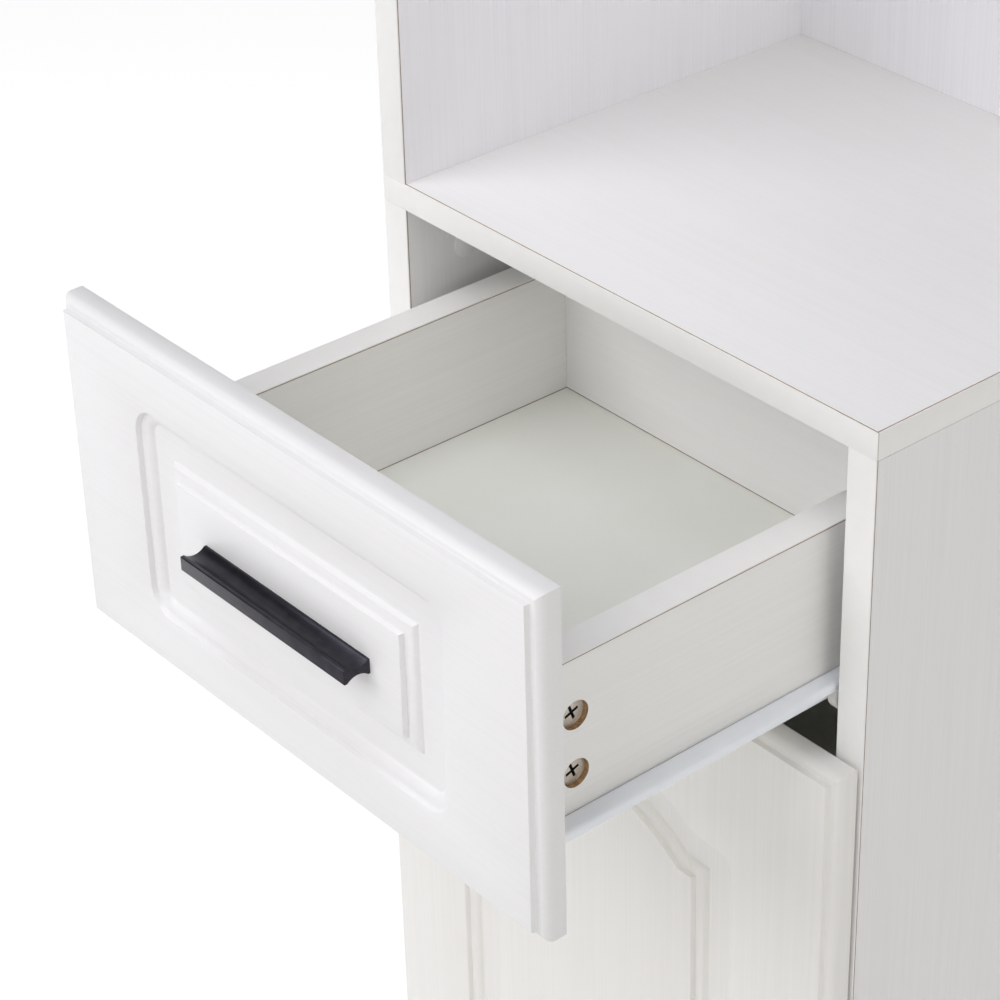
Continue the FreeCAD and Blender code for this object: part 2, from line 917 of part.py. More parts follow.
def hinge_cup(point):
    """Pressed cup with its rim and the two ears that take the screws."""
    ear_half_width = cup_ear_width / 2
    ear_half_length = cup_screw_spacing / 2 + ear_half_width
    ear_x = -cup_screw_offset
    corners = [
        (ear_x - ear_half_width, -ear_half_length, cup_ear_round),
        (ear_x + ear_half_width, -ear_half_length, cup_ear_round),
        (ear_x + ear_half_width, ear_half_length, cup_ear_round),
        (ear_x - ear_half_width, ear_half_length, cup_ear_round),
    ]
    ears = Part.Face(rounded_wire(corners, on_front)).extrude(to_back * cup_flange_thickness)
    rim = Part.makeCylinder(cup_radius + cup_rim, cup_flange_thickness, Vector(0, 0, 0), to_back)
    bowl = Part.makeCylinder(cup_radius, cup_depth, Vector(0, 0, 0), to_front)
    hollow_start = to_front * (cup_depth - cup_wall)
    hollow = Part.makeCylinder(
        cup_radius - cup_wall, cup_depth + cup_flange_thickness + overrun, hollow_start, to_back
    )
    cup = joined([ears, rim, bowl]).cut(hollow)
    cup.translate(point)
    seats = cup_screw_points(cup_flange_thickness)
    return cup.cut(screw_bores(seats, to_front, cup_flange_thickness + overrun))


def hinge_plate_screw_points():
    x = inner_half_width - hinge_plate_thickness
    offsets = mirrored_pair(hinge_plate_screw_spacing)
    return [Vector(x, hinge_plate_setback, level + offset) for level in hinge_levels for offset in offsets]


def hinge_plate(level):
    """Cross-shaped plate screwed to the right side."""
    inner_x = inner_half_width - hinge_plate_thickness
    body = block(
        (inner_x, inner_half_width),
        (hinge_plate_setback - hinge_plate_length / 2, hinge_plate_setback + hinge_plate_length / 2),
        (level - hinge_plate_height / 2, level + hinge_plate_height / 2),
    )
    near, far = [hinge_plate_setback + offset for offset in mirrored_pair(hinge_wing_width)]
    low, high = [level + offset for offset in mirrored_pair(hinge_wing_height)]
    wing_corners = [
        (near, low, hinge_wing_round),
        (far, low, hinge_wing_round),
        (far, high, hinge_wing_round),
        (near, high, hinge_wing_round),
    ]

    def on_side(point):
        return Vector(inner_x, point.x, point.y)

    wing = Part.Face(rounded_wire(wing_corners, on_side)).extrude(to_right * hinge_plate_thickness)
    plate = joined([body, wing])
    return plate.cut(screw_bores(hinge_plate_screw_points(), to_right, hinge_plate_thickness + overrun))


def hinge_arm(level):
    """Folded arm from the plate to the cup, open towards the side."""
    outer_x = inner_half_width - hinge_plate_thickness
    inner_x = outer_x - hinge_arm_height
    nose_y = front_back_y - hinge_nose_depth
    nose_inner_x = inner_x + hinge_arm_wall
    nose_outer_x = nose_inner_x + hinge_nose_height
    corners = [
        (outer_x, hinge_arm_end, 0),
        (inner_x, hinge_arm_end, hinge_arm_wall),
        (inner_x, hinge_nose_shoulder, hinge_arm_wall),
        (nose_inner_x, 0, hinge_arm_wall),
        (nose_inner_x, nose_y, hinge_arm_wall),
        (nose_outer_x, nose_y, hinge_arm_wall),
        (nose_outer_x, 0, hinge_arm_wall),
        (outer_x, hinge_nose_shoulder, 0),
    ]
    arm = Part.Face(rounded_wire(corners, lambda point: point)).extrude(Vector(0, 0, hinge_arm_width))
    arm.translate(Vector(0, 0, level - hinge_arm_width / 2))
    hollow = block(
        (inner_x + hinge_arm_wall, outer_x + overrun),
        (hinge_nose_shoulder + hinge_arm_wall, hinge_arm_end - hinge_arm_wall),
        (level - hinge_arm_width / 2 + hinge_arm_wall, level + hinge_arm_width / 2 - hinge_arm_wall),
    )
    return arm.cut(hollow)


# Handles

def handle_bar():
    """Drawn bar with a foot, a hollowed waist and a lip, lying along x with its foot at y = 0."""
    lip_start = handle_projection - handle_lip_thickness
    waist = (handle_foot_thickness + lip_start) / 2
    half = handle_half_height
    edges = []

    def line(start, end):
        edges.append(Part.LineSegment(Vector(0, -start[0], start[1]), Vector(0, -end[0], end[1])).toShape())

    def arc(start, middle, end):
        points = [Vector(0, -y, z) for y, z in (start, middle, end)]
        edges.append(Part.Arc(*points).toShape())

    round_off = handle_lip_round
    bow = round_off * (1 - math.sin(math.pi / 4))
    for side in (1, -1):
        arc(
            (handle_foot_thickness, side * half),
            (waist, side * handle_waist_half_height),
            (lip_start, side * half),
        )
        line((0, side * half), (handle_foot_thickness, side * half))
        line((lip_start, side * half), (handle_projection - round_off, side * half))
        arc(
            (handle_projection - round_off, side * half),
            (handle_projection - bow, side * (half - bow)),
            (handle_projection, side * (half - round_off)),
        )
    line((0, -half), (0, half))
    line((handle_projection, round_off - half), (handle_projection, half - round_off))
    section = Part.Face(Part.Wire(Part.__sortEdges__(edges)))
    bar = section.extrude(to_right * handle_length)
    bar.translate(to_left * (handle_length / 2))
    holes = [
        bore(Vector(x, 0, 0), to_front, handle_screw_radius, handle_screw_depth)
        for x in mirrored_pair(handle_hole_spacing)
    ]
    return bar.cut(holes)


def drawer_handle():
    bar = handle_bar()
    bar.translate(Vector(0, drawer_face_plane, (drawer_bottom + drawer_top) / 2))
    return bar


def door_handle_centre():
    return (door_stile / 2 - front_half_width, door_top - door_handle_drop - handle_length / 2)


def door_handle():
    x, z = door_handle_centre()
    bar = handle_bar()
    bar.rotate(Vector(0, 0, 0), Vector(0, 1, 0), 90)
    bar.translate(Vector(x, front_back_y - front_thickness, z))
    return bar


def drawer_handle_points():
    """Seats of the handle screws inside the drawer front."""
    level = (drawer_bottom + drawer_top) / 2
    return [Vector(x, drawer_back_plane, level) for x in mirrored_pair(handle_hole_spacing)]


def door_handle_points():
    """Seats of the handle screws inside the door."""
    x, z = door_handle_centre()
    return [Vector(x, front_back_y, z + up) for up in mirrored_pair(handle_hole_spacing)]


def handle_screw_holes(points):
    return [bore(point, to_front, handle_screw_radius, front_thickness + overrun) for point in points]


def handle_screws(points):
    shank = (handle_screw_radius, front_thickness + handle_screw_depth)
    head = (handle_screw_head_radius, handle_screw_head_height)
    return [screw(point, to_front, shank, head) for point in points]


def bumpers(points):
    """Soft buttons that fill the gap behind a closed front."""
    height = front_gap - bumper_clearance
    return [Part.makeCylinder(bumper_radius, height, point, to_back) for point in points]


# Roller slides, drawn for the right side

def slide_wire(corners):
    """Section of a slide member, measured outwards and upwards from the drawer side's lower edge."""
    return rounded_wire(
        [(box_outer_half + u, box_side_bottom + v, radius) for u, v, radius in corners],
        on_front,
    )


def channel_centre_level():
    """Level of the rear roller, low enough for the channel to pass under the drawer member's lip."""
    lip_end = drawer_web_height - drawer_lip_height
    return box_side_bottom + lip_end - lip_clearance - steel_thickness - channel_inner_height / 2


def drawer_member():
    """Folded steel profile under the drawer side, with the tab that holds the rear roller."""
    thick = steel_thickness
    outer_bend = bend_radius + thick
    top = drawer_web_height
    lip_end = top - drawer_lip_height
    corners = [
        (-under_flange_width, -thick, 0),
        (thick, -thick, thick),
        (thick, top - thick, bend_radius),
        (drawer_flange_width - thick, top - thick, bend_radius),
        (drawer_flange_width - thick, lip_end, 0),
        (drawer_flange_width, lip_end, 0),
        (drawer_flange_width, top, outer_bend),
        (0, top, outer_bend),
        (0, 0, 0),
        (-under_flange_width, 0, 0),
    ]
    profile = Part.Face(slide_wire(corners)).extrude(to_back * slide_length)
    profile.translate(Vector(0, drawer_back_plane, 0))
    centre = rear_axle_start()
    tab = Part.makeCylinder(roller_tab_radius, thick, centre, to_right)
    cuts = screw_bores(flange_screw_points(), upward, thick + overrun)
    cuts.append(bore(centre, to_right, axle_radius, thick + overrun))
    return joined([profile, tab]).cut(cuts)


def channel_member():
    """Folded steel channel on the cabinet side, notched at the front for its roller."""
    level = channel_centre_level() - box_side_bottom
    inner = channel_inner_height / 2
    outer = inner + steel_thickness
    web = slide_gap - steel_thickness
    mouth = slide_gap - channel_flange_width
    outer_bend = bend_radius + steel_thickness
    corners = [
        (mouth, level - outer, 0),
        (slide_gap, level - outer, outer_bend),
        (slide_gap, level + outer, outer_bend),
        (mouth, level + outer, 0),
        (mouth, level + inner, 0),
        (web, level + inner, bend_radius),
        (web, level - inner, bend_radius),
        (mouth, level - inner, 0),
    ]
    member = Part.Face(slide_wire(corners)).extrude(to_back * slide_length)
    member.translate(Vector(0, channel_start_y, 0))
    notch_end = front_roller_y + front_roller_radius + roller_notch_clearance
    notch = block(
        (box_outer_half - overrun, box_outer_half + web),
        (channel_start_y - overrun, notch_end),
        (box_side_bottom + level - outer - overrun, box_side_bottom + level + outer + overrun),
    )
    cuts = [notch]
    cuts += screw_bores(channel_screw_points(), to_right, steel_thickness + overrun)
    cuts.append(bore(front_axle_start(), to_left, axle_radius, steel_thickness + overrun))
    return joined([member.cut(cuts), stop_lug()])


def stop_lug():
    """Lug on the channel's lower flange that stops the rear roller when the drawer is fully out."""
    floor_level = channel_centre_level() - channel_inner_height / 2
    drop = channel_centre_level() - floor_level - stop_lug_height
    reach = math.sqrt(roller_radius ** 2 - drop ** 2)
    rear_end = rear_axle_start().y - drawer_travel_left - reach - roller_clearance
    return block(
        (box_outer_half + slide_gap - channel_flange_width, box_outer_half + slide_gap - steel_thickness),
        (rear_end - stop_lug_length, rear_end),
        (floor_level, floor_level + stop_lug_height),
    )


def channel_screw_points():
    """Seats of the screws of the cabinet member, along its middle line."""
    x = inner_half_width - steel_thickness
    first = front_roller_y + front_roller_radius + channel_screw_distance
    last = channel_start_y + slide_length - channel_screw_distance
    return [Vector(x, y, channel_centre_level()) for y in (first, (first + last) / 2, last)]


def flange_screw_points():
    """Seats of the upright screws of the drawer member, under its lower flange."""
    x = box_outer_half - drawer_side_thickness / 2
    level = box_side_bottom - steel_thickness
    first = drawer_back_plane + flange_screw_distance
    last = drawer_back_plane + slide_length - flange_screw_distance
    return [Vector(x, y, level) for y in (first, (first + last) / 2, last)]


def rear_axle_start():
    """Where the rear axle leaves the face of the drawer side."""
    y = drawer_back_plane + slide_length - rear_roller_inset
    return Vector(box_outer_half, y, channel_centre_level())


def front_axle_start():
    """Where the front axle leaves the face of the cabinet side."""
    underside = box_side_bottom + drawer_web_height - steel_thickness
    return Vector(inner_half_width, front_roller_y, underside - roller_clearance - front_roller_radius)


def roller(centre, radius):
    """Nylon roller with chamfered rims and dished faces, turning on an axle along x."""
    half = roller_width / 2
    hub = axle_radius + roller_hub_wall
    rim = radius - roller_rim_wall
    corners = [
        (-half, axle_radius + fit_clearance, 0),
        (-half, hub, 0),
        (-half + roller_dish_depth, hub, 0),
        (-half + roller_dish_depth, rim, 0),
        (-half, rim, 0),
        (-half, radius - roller_rim_chamfer, 0),
        (-half + roller_rim_chamfer, radius, 0),
        (half - roller_rim_chamfer, radius, 0),
        (half, radius - roller_rim_chamfer, 0),
        (half, rim, 0),
        (half - roller_dish_depth, rim, 0),
        (half - roller_dish_depth, hub, 0),
        (half, hub, 0),
        (half, axle_radius + fit_clearance, 0),
    ]
    wheel = Part.Face(rounded_wire(corners, on_front)).revolve(Vector(0, 0, 0), to_right, 360)
    wheel.translate(centre)
    return wheel


def roller_middle_x():
    return box_outer_half + steel_thickness + roller_side_gap + roller_width / 2


def front_roller():
    start = front_axle_start()
    return roller(Vector(roller_middle_x(), start.y, start.z), front_roller_radius)


def rear_roller():
    start = rear_axle_start()
    return roller(Vector(roller_middle_x(), start.y, start.z), roller_radius)


def front_axle():
    """Rivet from the cabinet side inwards through the channel and the front roller."""
    length = slide_gap - steel_thickness - roller_side_gap
    return rivet(front_axle_start(), to_left, length)


def rear_axle():
    """Rivet from the drawer side outwards through the tab and the rear roller."""
    length = steel_thickness + roller_side_gap + roller_width
    return rivet(rear_axle_start(), to_right, length)


def rivet(start, direction, length):
    shank = Part.makeCylinder(axle_radius, length, start, direction)
    head = Part.makeCylinder(rivet_head_radius, rivet_head_height, start + direction * length, direction)
    return joined([shank, head])


def small_screws(points, direction):
    return [screw(point, direction, small_shank, small_head) for point in points]


# Writing the nodes

def write_pair(name, shape):
    """Write a right-hand piece and its mirror image."""
    write(name + "_right", shape)
    write(name + "_left", mirrored(shape))


def write_carcass():
    write("lower_side_right", hinge_side())
    write("lower_side_left", mirrored(lower_side()))
    write("middle_board", middle_board())
    write("bottom_board", bottom_board())
    write("plinth", plinth())
    write("plinth_blocks", group(plinth_blocks()))
    write("lower_back", lower_back())
    write("cupboard_shelf", cupboard_shelf())
    write("shelf_pins", group(shelf_pins()))
    write("floor_glides", group(glides()))
    write("upper_side", upper_side())
    write("upper_back", upper_back())
    write("upper_shelf", upper_shelf())
    write("top_board", top_board())
    write("dowels", group(dowels()))
    write("board_screws", group(board_screws()))
    carcass_fittings = top_cams() + floor_cams()
    write("carcass_cams", group(doubled(fitting_parts(carcass_fittings, "cam"))))
    write("carcass_cam_bolts", group(doubled(fitting_parts(carcass_fittings, "bolt"))))


def write_drawer():
    write("drawer_front", drawer_front())
    write_pair("drawer_side", drawer_side())
    write("drawer_back", drawer_back())
    write("drawer_floor", drawer_floor())
    write("drawer_cams", group(doubled(fitting_parts(drawer_cams(), "cam"))))
    write("drawer_cam_bolts", group(doubled(fitting_parts(drawer_cams(), "bolt"))))
    back_screws = [screw(seat, to_left, board_shank, board_head) for seat in drawer_back_screw_seats()]
    write("drawer_back_screws", group(doubled(back_screws)))
    write("drawer_handle", drawer_handle())
    write("drawer_handle_screws", group(handle_screws(drawer_handle_points())))
    right_x = inner_half_width + side_thickness / 2
    points = [
        Vector(right_x, drawer_back_plane, level)
        for level in (drawer_bottom + bumper_inset, board_underside - bumper_inset)
    ]
    write("drawer_bumpers", group(doubled(bumpers(points))))


def write_door():
    write("door_leaf", door_leaf())
    write("door_handle", door_handle())
    write("door_handle_screws", group(handle_screws(door_handle_points())))
    for name, point in zip(("lower", "upper"), cup_points()):
        write("hinge_cup_" + name, hinge_cup(point))
    write("hinge_cup_screws", group([
        screw(point, to_front, (small_screw_radius, cup_screw_length + cup_flange_thickness), small_head)
        for point in cup_screw_points(cup_flange_thickness)
    ]))
    for name, level in zip(("lower", "upper"), hinge_levels):
        write("hinge_plate_" + name, hinge_plate(level))
        write("hinge_arm_" + name, hinge_arm(level))
    write("hinge_plate_screws", group(small_screws(hinge_plate_screw_points(), to_right)))
    left_x = -inner_half_width - side_thickness / 2
    levels = (door_bottom_level + door_bumper_inset, door_top - bumper_inset)
    write("door_bumpers", group(bumpers([Vector(left_x, front_back_y, level) for level in levels])))


def write_slides():
    write_pair("channel_member", channel_member())
    write_pair("drawer_member", drawer_member())
    write_pair("front_roller", front_roller())
    write_pair("rear_roller", rear_roller())
    write("front_roller_axles", group(both_sides(front_axle())))
    write("rear_roller_axles", group(both_sides(rear_axle())))
    write("channel_screws", group(doubled(small_screws(channel_screw_points(), to_right))))
    write("drawer_member_screws", group(doubled(small_screws(flange_screw_points(), upward))))


write_carcass()
write_drawer()
write_door()
write_slides()
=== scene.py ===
import bpy
import bmesh
import math
from mathutils import Matrix, Vector


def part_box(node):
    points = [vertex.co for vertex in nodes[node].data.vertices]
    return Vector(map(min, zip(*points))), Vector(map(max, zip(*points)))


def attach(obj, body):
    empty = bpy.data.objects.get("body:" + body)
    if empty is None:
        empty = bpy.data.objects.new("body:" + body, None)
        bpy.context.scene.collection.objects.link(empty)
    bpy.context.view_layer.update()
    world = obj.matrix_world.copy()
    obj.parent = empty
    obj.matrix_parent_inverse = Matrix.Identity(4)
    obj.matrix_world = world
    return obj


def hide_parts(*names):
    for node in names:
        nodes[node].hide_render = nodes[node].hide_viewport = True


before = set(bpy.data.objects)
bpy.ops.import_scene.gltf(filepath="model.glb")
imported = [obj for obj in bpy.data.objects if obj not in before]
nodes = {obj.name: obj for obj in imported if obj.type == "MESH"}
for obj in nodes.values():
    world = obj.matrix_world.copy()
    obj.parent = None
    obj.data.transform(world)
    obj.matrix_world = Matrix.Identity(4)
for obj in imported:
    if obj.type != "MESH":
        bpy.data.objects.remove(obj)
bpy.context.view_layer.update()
mm = 0.001
axisX, axisY, axisZ = Vector((1, 0, 0)), Vector((0, 1, 0)), Vector((0, 0, 1))
print("frame loaded:", len(nodes), "nodes")


# camera, light and floor

camera = {
    # place in metres, angles in degrees, lens in millimetres; fitted to the photo's lines
    "place": (0.98008, -0.91034, 1.56075),
    "heading": 48.78,
    "tilt": -31.30,
    "roll": -0.52,
    "focalLength": 109.68,
    "sensorWidth": 36,
    "shift": (-0.1, -0.04),
    "farClip": 60,
}

studio = {
    # lengths in metres; the glow, wall and room values are strengths of light
    "floorHalf": 12.0,
    "floorPale": "#fbfbfb",
    "floorDark": "#f7f7f7",
    "floorCloud": 0.7,
    "floorGlow": 0.62,
    "glowDirection": (-0.66, 0.75, 0.0),
    "glowSpan": (-1.0, 0.6),
    "glowRing": (2.5, 6.0),
    "wallColour": "#ffffff",
    "wallStrength": 0.5,
    "wallTop": 0.35,
    "roomStrength": 0.12,
    "lampTarget": (0.0, 0.0, 0.8),
    "lampDiameter": 2.6,
    "lamps": [
        # name, place, watts, colour
        ("keyLamp", (-1.6, -3.2, 3.0), 53, "#fdfcff"),
        ("frontLamp", (0.6, -3.4, 3.0), 24, "#fefdfa"),
        ("rightLamp", (3.4, -0.6, 2.0), 27, "#fffcf6"),
        ("topLamp", (0.0, -1.2, 3.8), 40, "#f8f9ff"),
    ],
}


def linearColour(code):
    # sRGB hex to the linear values that Blender's sockets take
    values = [int(code[i:i + 2], 16) / 255 for i in (1, 3, 5)]
    linear = [v / 12.92 if v <= 0.04045 else ((v + 0.055) / 1.055) ** 2.4 for v in values]
    return (*linear, 1.0)


def addNode(tree, kind, settings, inputs):
    # a shader node with its settings; each input takes a value or a link from another node
    node = tree.nodes.new(kind)
    for name, value in settings.items():
        setattr(node, name, value)
    for name, value in inputs.items():
        if isinstance(value, bpy.types.NodeSocket):
            tree.links.new(value, node.inputs[name])
        else:
            node.inputs[name].default_value = value
    return node.outputs


def startMaterial(name):
    # an empty material with its node tree and the object's own coordinates
    material = bpy.data.materials.new(name)
    material.use_nodes = True
    tree = material.node_tree
    tree.nodes.clear()
    return material, tree, addNode(tree, "ShaderNodeTexCoord", {}, {})["Object"]


def grainScale(grainAxis, across, along):
    # a pattern's cells per metre, long along the grain; sizes in millimetres
    return [1 / (along * mm) if axis == grainAxis else 1 / (across * mm) for axis in "xyz"]


# materials

def patternNoise(tree, place, scale, look):
    # noise whose cells have a set size on each axis
    space = addNode(tree, "ShaderNodeMapping", {}, {"Vector": place, "Scale": scale})["Vector"]
    return addNode(tree, "ShaderNodeTexNoise", {}, {"Vector": space, "Scale": 1.0, **look})["Fac"]


def mixByPattern(tree, pattern, span, first, second, most=1.0):
    # two colours mixed as a pattern's value runs over the span; most is the second one's largest share
    share = addNode(tree, "ShaderNodeMapRange", {},
                    {"Value": pattern, "From Min": span[0], "From Max": span[1],
                     "To Max": most})["Result"]
    ends = [linearColour(end) if isinstance(end, str) else end for end in (first, second)]
    return addNode(tree, "ShaderNodeMix", {"data_type": "RGBA"}, {0: share, 6: ends[0], 7: ends[1]})[2]


def finishSurface(tree, height, depth, strength, inputs):
    # the shader over a fine relief, whose depth is in millimetres
    relief = addNode(tree, "ShaderNodeBump", {},
                     {"Height": height, "Distance": depth * mm, "Strength": strength})["Normal"]
    shader = addNode(tree, "ShaderNodeBsdfPrincipled", {}, {"Normal": relief, **inputs})["BSDF"]
    addNode(tree, "ShaderNodeOutputMaterial", {}, {"Surface": shader})


woodgrainValues = {
    # (across, along) sizes and depth in millimetres; the lines are drawn as coarse as they need to show
    "lineLength": 150,
    "lineLook": {"Detail": 1.0, "Roughness": 0.5},
    "band": (14, 420),
    "bandLook": {"Detail": 2.0, "Distortion": 0.5},
    "bandShare": 0.35,
    "printSpan": (0.50, 0.85),
    "pore": (0.5, 12),
    "poreLook": {"Detail": 1.0, "Roughness": 0.6},
    "lineShare": 1.2,
    "reliefDepth": 0.02,
    "reliefStrength": 0.5,
    "glossSpread": (0.04, 0.06),
    "ior": 1.5,
    "specular": 0.45,
}


def woodgrainMelamine(name, grainAxis, pale, dark, lineWidth=1.2, roughness=0.42):
    # printed paper pressed on board with a shallow wood texture: white, with faint fine lines and a
    # satin sheen
    values = woodgrainValues
    material, tree, place = startMaterial(name)
    lineScale = grainScale(grainAxis, lineWidth, values["lineLength"])
    lines = patternNoise(tree, place, lineScale, values["lineLook"])
    bands = patternNoise(tree, place, grainScale(grainAxis, *values["band"]), values["bandLook"])
    printed = addNode(tree, "ShaderNodeMath", {"operation": "MULTIPLY_ADD"},
                      {0: bands, 1: values["bandShare"], 2: lines})[0]
    colour = mixByPattern(tree, printed, values["printSpan"], pale, dark)
    pores = patternNoise(tree, place, grainScale(grainAxis, *values["pore"]), values["poreLook"])
    height = addNode(tree, "ShaderNodeMath", {"operation": "MULTIPLY_ADD"},
                     {0: lines, 1: values["lineShare"], 2: pores})[0]
    smoothest, roughest = roughness - values["glossSpread"][0], roughness + values["glossSpread"][1]
    gloss = addNode(tree, "ShaderNodeMapRange", {},
                    {"Value": pores, "From Min": 0.3, "From Max": 0.7,
                     "To Min": smoothest, "To Max": roughest})
    finishSurface(tree, height, values["reliefDepth"], values["reliefStrength"],
                  {"Base Color": colour, "Roughness": gloss["Result"], "IOR": values["ior"],
                   "Specular IOR Level": values["specular"]})
    return material


plasticValues = {
    "cloudSize": 9 * mm,
    "cloudSpan": (0.3, 0.7),
    "reliefStrength": 0.6,
    "glossSpread": (0.04, 0.05),
    "ior": 1.49,
    "specular": 0.5,
}


def plainPlastic(name, pale, dark, roughness, grain, depth, transmission=0.0):
    # moulded or drawn plastic: one colour with a faint cloud, and a fine skin whose grain and depth are
    # in millimetres; glue and raw fibreboard look as even, only more matt
    values = plasticValues
    material, tree, place = startMaterial(name)
    cloud = addNode(tree, "ShaderNodeTexNoise", {},
                    {"Vector": place, "Scale": 1 / values["cloudSize"], "Detail": 2.0})["Fac"]
    colour = mixByPattern(tree, cloud, values["cloudSpan"], pale, dark)
    skin = addNode(tree, "ShaderNodeTexNoise", {},
                   {"Vector": place, "Scale": 1 / (grain * mm), "Detail": 2.0})["Fac"]
    smoothest, roughest = roughness - values["glossSpread"][0], roughness + values["glossSpread"][1]
    gloss = addNode(tree, "ShaderNodeMapRange", {},
                    {"Value": cloud, "From Min": 0.3, "From Max": 0.7,
                     "To Min": smoothest, "To Max": roughest})
    finishSurface(tree, skin, depth, values["reliefStrength"],
                  {"Base Color": colour, "Roughness": gloss["Result"], "IOR": values["ior"],
                   "Specular IOR Level": values["specular"], "Transmission Weight": transmission})
    return material


metalValues = {
    "markLook": {"Detail": 3.0, "Roughness": 0.6},
    "cloudSize": 7 * mm,
    "toneSpan": (0.7, 1.3),
    "glossSpread": (0.06, 0.08),
    "reliefStrength": 0.5,
}


def metalFinish(name, pale, dark, roughness, markSize, depth):
    # metal with a drawn, cast or plated skin, whose marks have a size in millimetres on each axis
    values = metalValues
    material, tree, place = startMaterial(name)
    marks = patternNoise(tree, place, [1 / (size * mm) for size in markSize], values["markLook"])
    cloud = addNode(tree, "ShaderNodeTexNoise", {},
                    {"Vector": place, "Scale": 1 / values["cloudSize"], "Detail": 2.0})["Fac"]
    tone = addNode(tree, "ShaderNodeMath", {"operation": "ADD"}, {0: marks, 1: cloud})[0]
    colour = mixByPattern(tree, tone, values["toneSpan"], pale, dark)
    smoothest, roughest = roughness - values["glossSpread"][0], roughness + values["glossSpread"][1]
    gloss = addNode(tree, "ShaderNodeMapRange", {},
                    {"Value": marks, "From Min": 0.3, "From Max": 0.7,
                     "To Min": smoothest, "To Max": roughest})
    finishSurface(tree, marks, depth, values["reliefStrength"],
                  {"Base Color": colour, "Roughness": gloss["Result"], "Metallic": 1.0})
    return material


chipValues = {
    "chip": (1.9, 1.2),
    "chipSpan": (0.3, 0.7),
    "chipColours": ("#c9a87e", "#a07c54"),
    "fibreSize": 0.5 * mm,
    "fibreSpan": (0.45, 0.8),
    "fibreColour": "#6b4d30",
    "fibreShare": 0.7,
    "reliefDepth": 0.25,
    "reliefStrength": 0.8,
}


def pressedChips(name):
    # sawn and drilled chipboard: pressed wood chips of 1 to 2 mm, dry and matt
    values = chipValues
    material, tree, place = startMaterial(name)
    space = addNode(tree, "ShaderNodeMapping", {},
                    {"Vector": place, "Scale": grainScale("z", *values["chip"])})
    chips = addNode(tree, "ShaderNodeTexVoronoi", {}, {"Vector": space["Vector"], "Scale": 1.0})
    tone = addNode(tree, "ShaderNodeTexNoise", {},
                   {"Vector": chips["Color"], "Scale": 1.0, "Detail": 0.0})["Fac"]
    wood = mixByPattern(tree, tone, values["chipSpan"], *values["chipColours"])
    fibres = addNode(tree, "ShaderNodeTexNoise", {},
                     {"Vector": place, "Scale": 1 / values["fibreSize"], "Detail": 3.0,
                      "Roughness": 0.7})["Fac"]
    colour = mixByPattern(tree, fibres, values["fibreSpan"], wood, values["fibreColour"],
                          values["fibreShare"])
    height = addNode(tree, "ShaderNodeMath", {"operation": "ADD"}, {0: fibres, 1: chips["Distance"]})[0]
    finishSurface(tree, height, values["reliefDepth"], values["reliefStrength"],
                  {"Base Color": colour, "Roughness": 0.85, "Specular IOR Level": 0.25})
    return material


beechValues = {
    "ring": (2.5, 90),
    "ringLook": {"Detail": 3.0, "Roughness": 0.6},
    "ringSpan": (0.35, 0.65),
    "ringColours": ("#d9bb93", "#c29d72"),
    "fleck": (0.4, 4),
    "fleckLook": {"Detail": 1.0},
    "fleckSpan": (0.56, 0.66),
    "fleckColour": "#9d7449",
    "fleckShare": 0.7,
    "reliefDepth": 0.05,
    "reliefStrength": 0.4,
}


def planedBeech(name, grainAxis):
    # planed beech: pink-brown with short darker flecks along the grain
    values = beechValues
    material, tree, place = startMaterial(name)
    rings = patternNoise(tree, place, grainScale(grainAxis, *values["ring"]), values["ringLook"])
    wood = mixByPattern(tree, rings, values["ringSpan"], *values["ringColours"])
    flecks = patternNoise(tree, place, grainScale(grainAxis, *values["fleck"]), values["fleckLook"])
    colour = mixByPattern(tree, flecks, values["fleckSpan"], wood, values["fleckColour"],
                          values["fleckShare"])
    finishSurface(tree, flecks, values["reliefDepth"], values["reliefStrength"],
                  {"Base Color": colour, "Roughness": 0.6, "Specular IOR Level": 0.35})
    return material


hardboardValues = {
    "cloudSize": 60 * mm,
    "cloudSpan": (0.3, 0.7),
    "speckSize": 0.8 * mm,
    "speckSpan": (0.6, 0.75),
    "speckShare": 0.3,
    "gloss": (0.5, 0.62),
    "reliefDepth": 0.05,
    "reliefStrength": 0.5,
}


def lacqueredHardboard(name, pale, dark, speckColour):
    # thin hardboard with one rolled coat of white lacquer: matt, with a fine roller texture
    values = hardboardValues
    material, tree, place = startMaterial(name)
    cloud = addNode(tree, "ShaderNodeTexNoise", {},
                    {"Vector": place, "Scale": 1 / values["cloudSize"], "Detail": 3.0})["Fac"]
    coat = mixByPattern(tree, cloud, values["cloudSpan"], pale, dark)
    specks = addNode(tree, "ShaderNodeTexNoise", {},
                     {"Vector": place, "Scale": 1 / values["speckSize"], "Detail": 2.0,
                      "Roughness": 0.6})["Fac"]
    colour = mixByPattern(tree, specks, values["speckSpan"], coat, speckColour, values["speckShare"])
    gloss = addNode(tree, "ShaderNodeMapRange", {},
                    {"Value": specks, "From Min": 0.3, "From Max": 0.7,
                     "To Min": values["gloss"][0], "To Max": values["gloss"][1]})["Result"]
    finishSurface(tree, specks, values["reliefDepth"], values["reliefStrength"],
                  {"Base Color": colour, "Roughness": gloss, "Specular IOR Level": 0.35})
    return material


coatValues = {
    "cloudSize": 18 * mm,
    "cloudSpan": (0.3, 0.7),
    "peelSize": 1.1 * mm,
    "gloss": (0.3, 0.4),
    "reliefDepth": 0.02,
    "reliefStrength": 0.4,
    "coat": (0.15, 0.2),
}


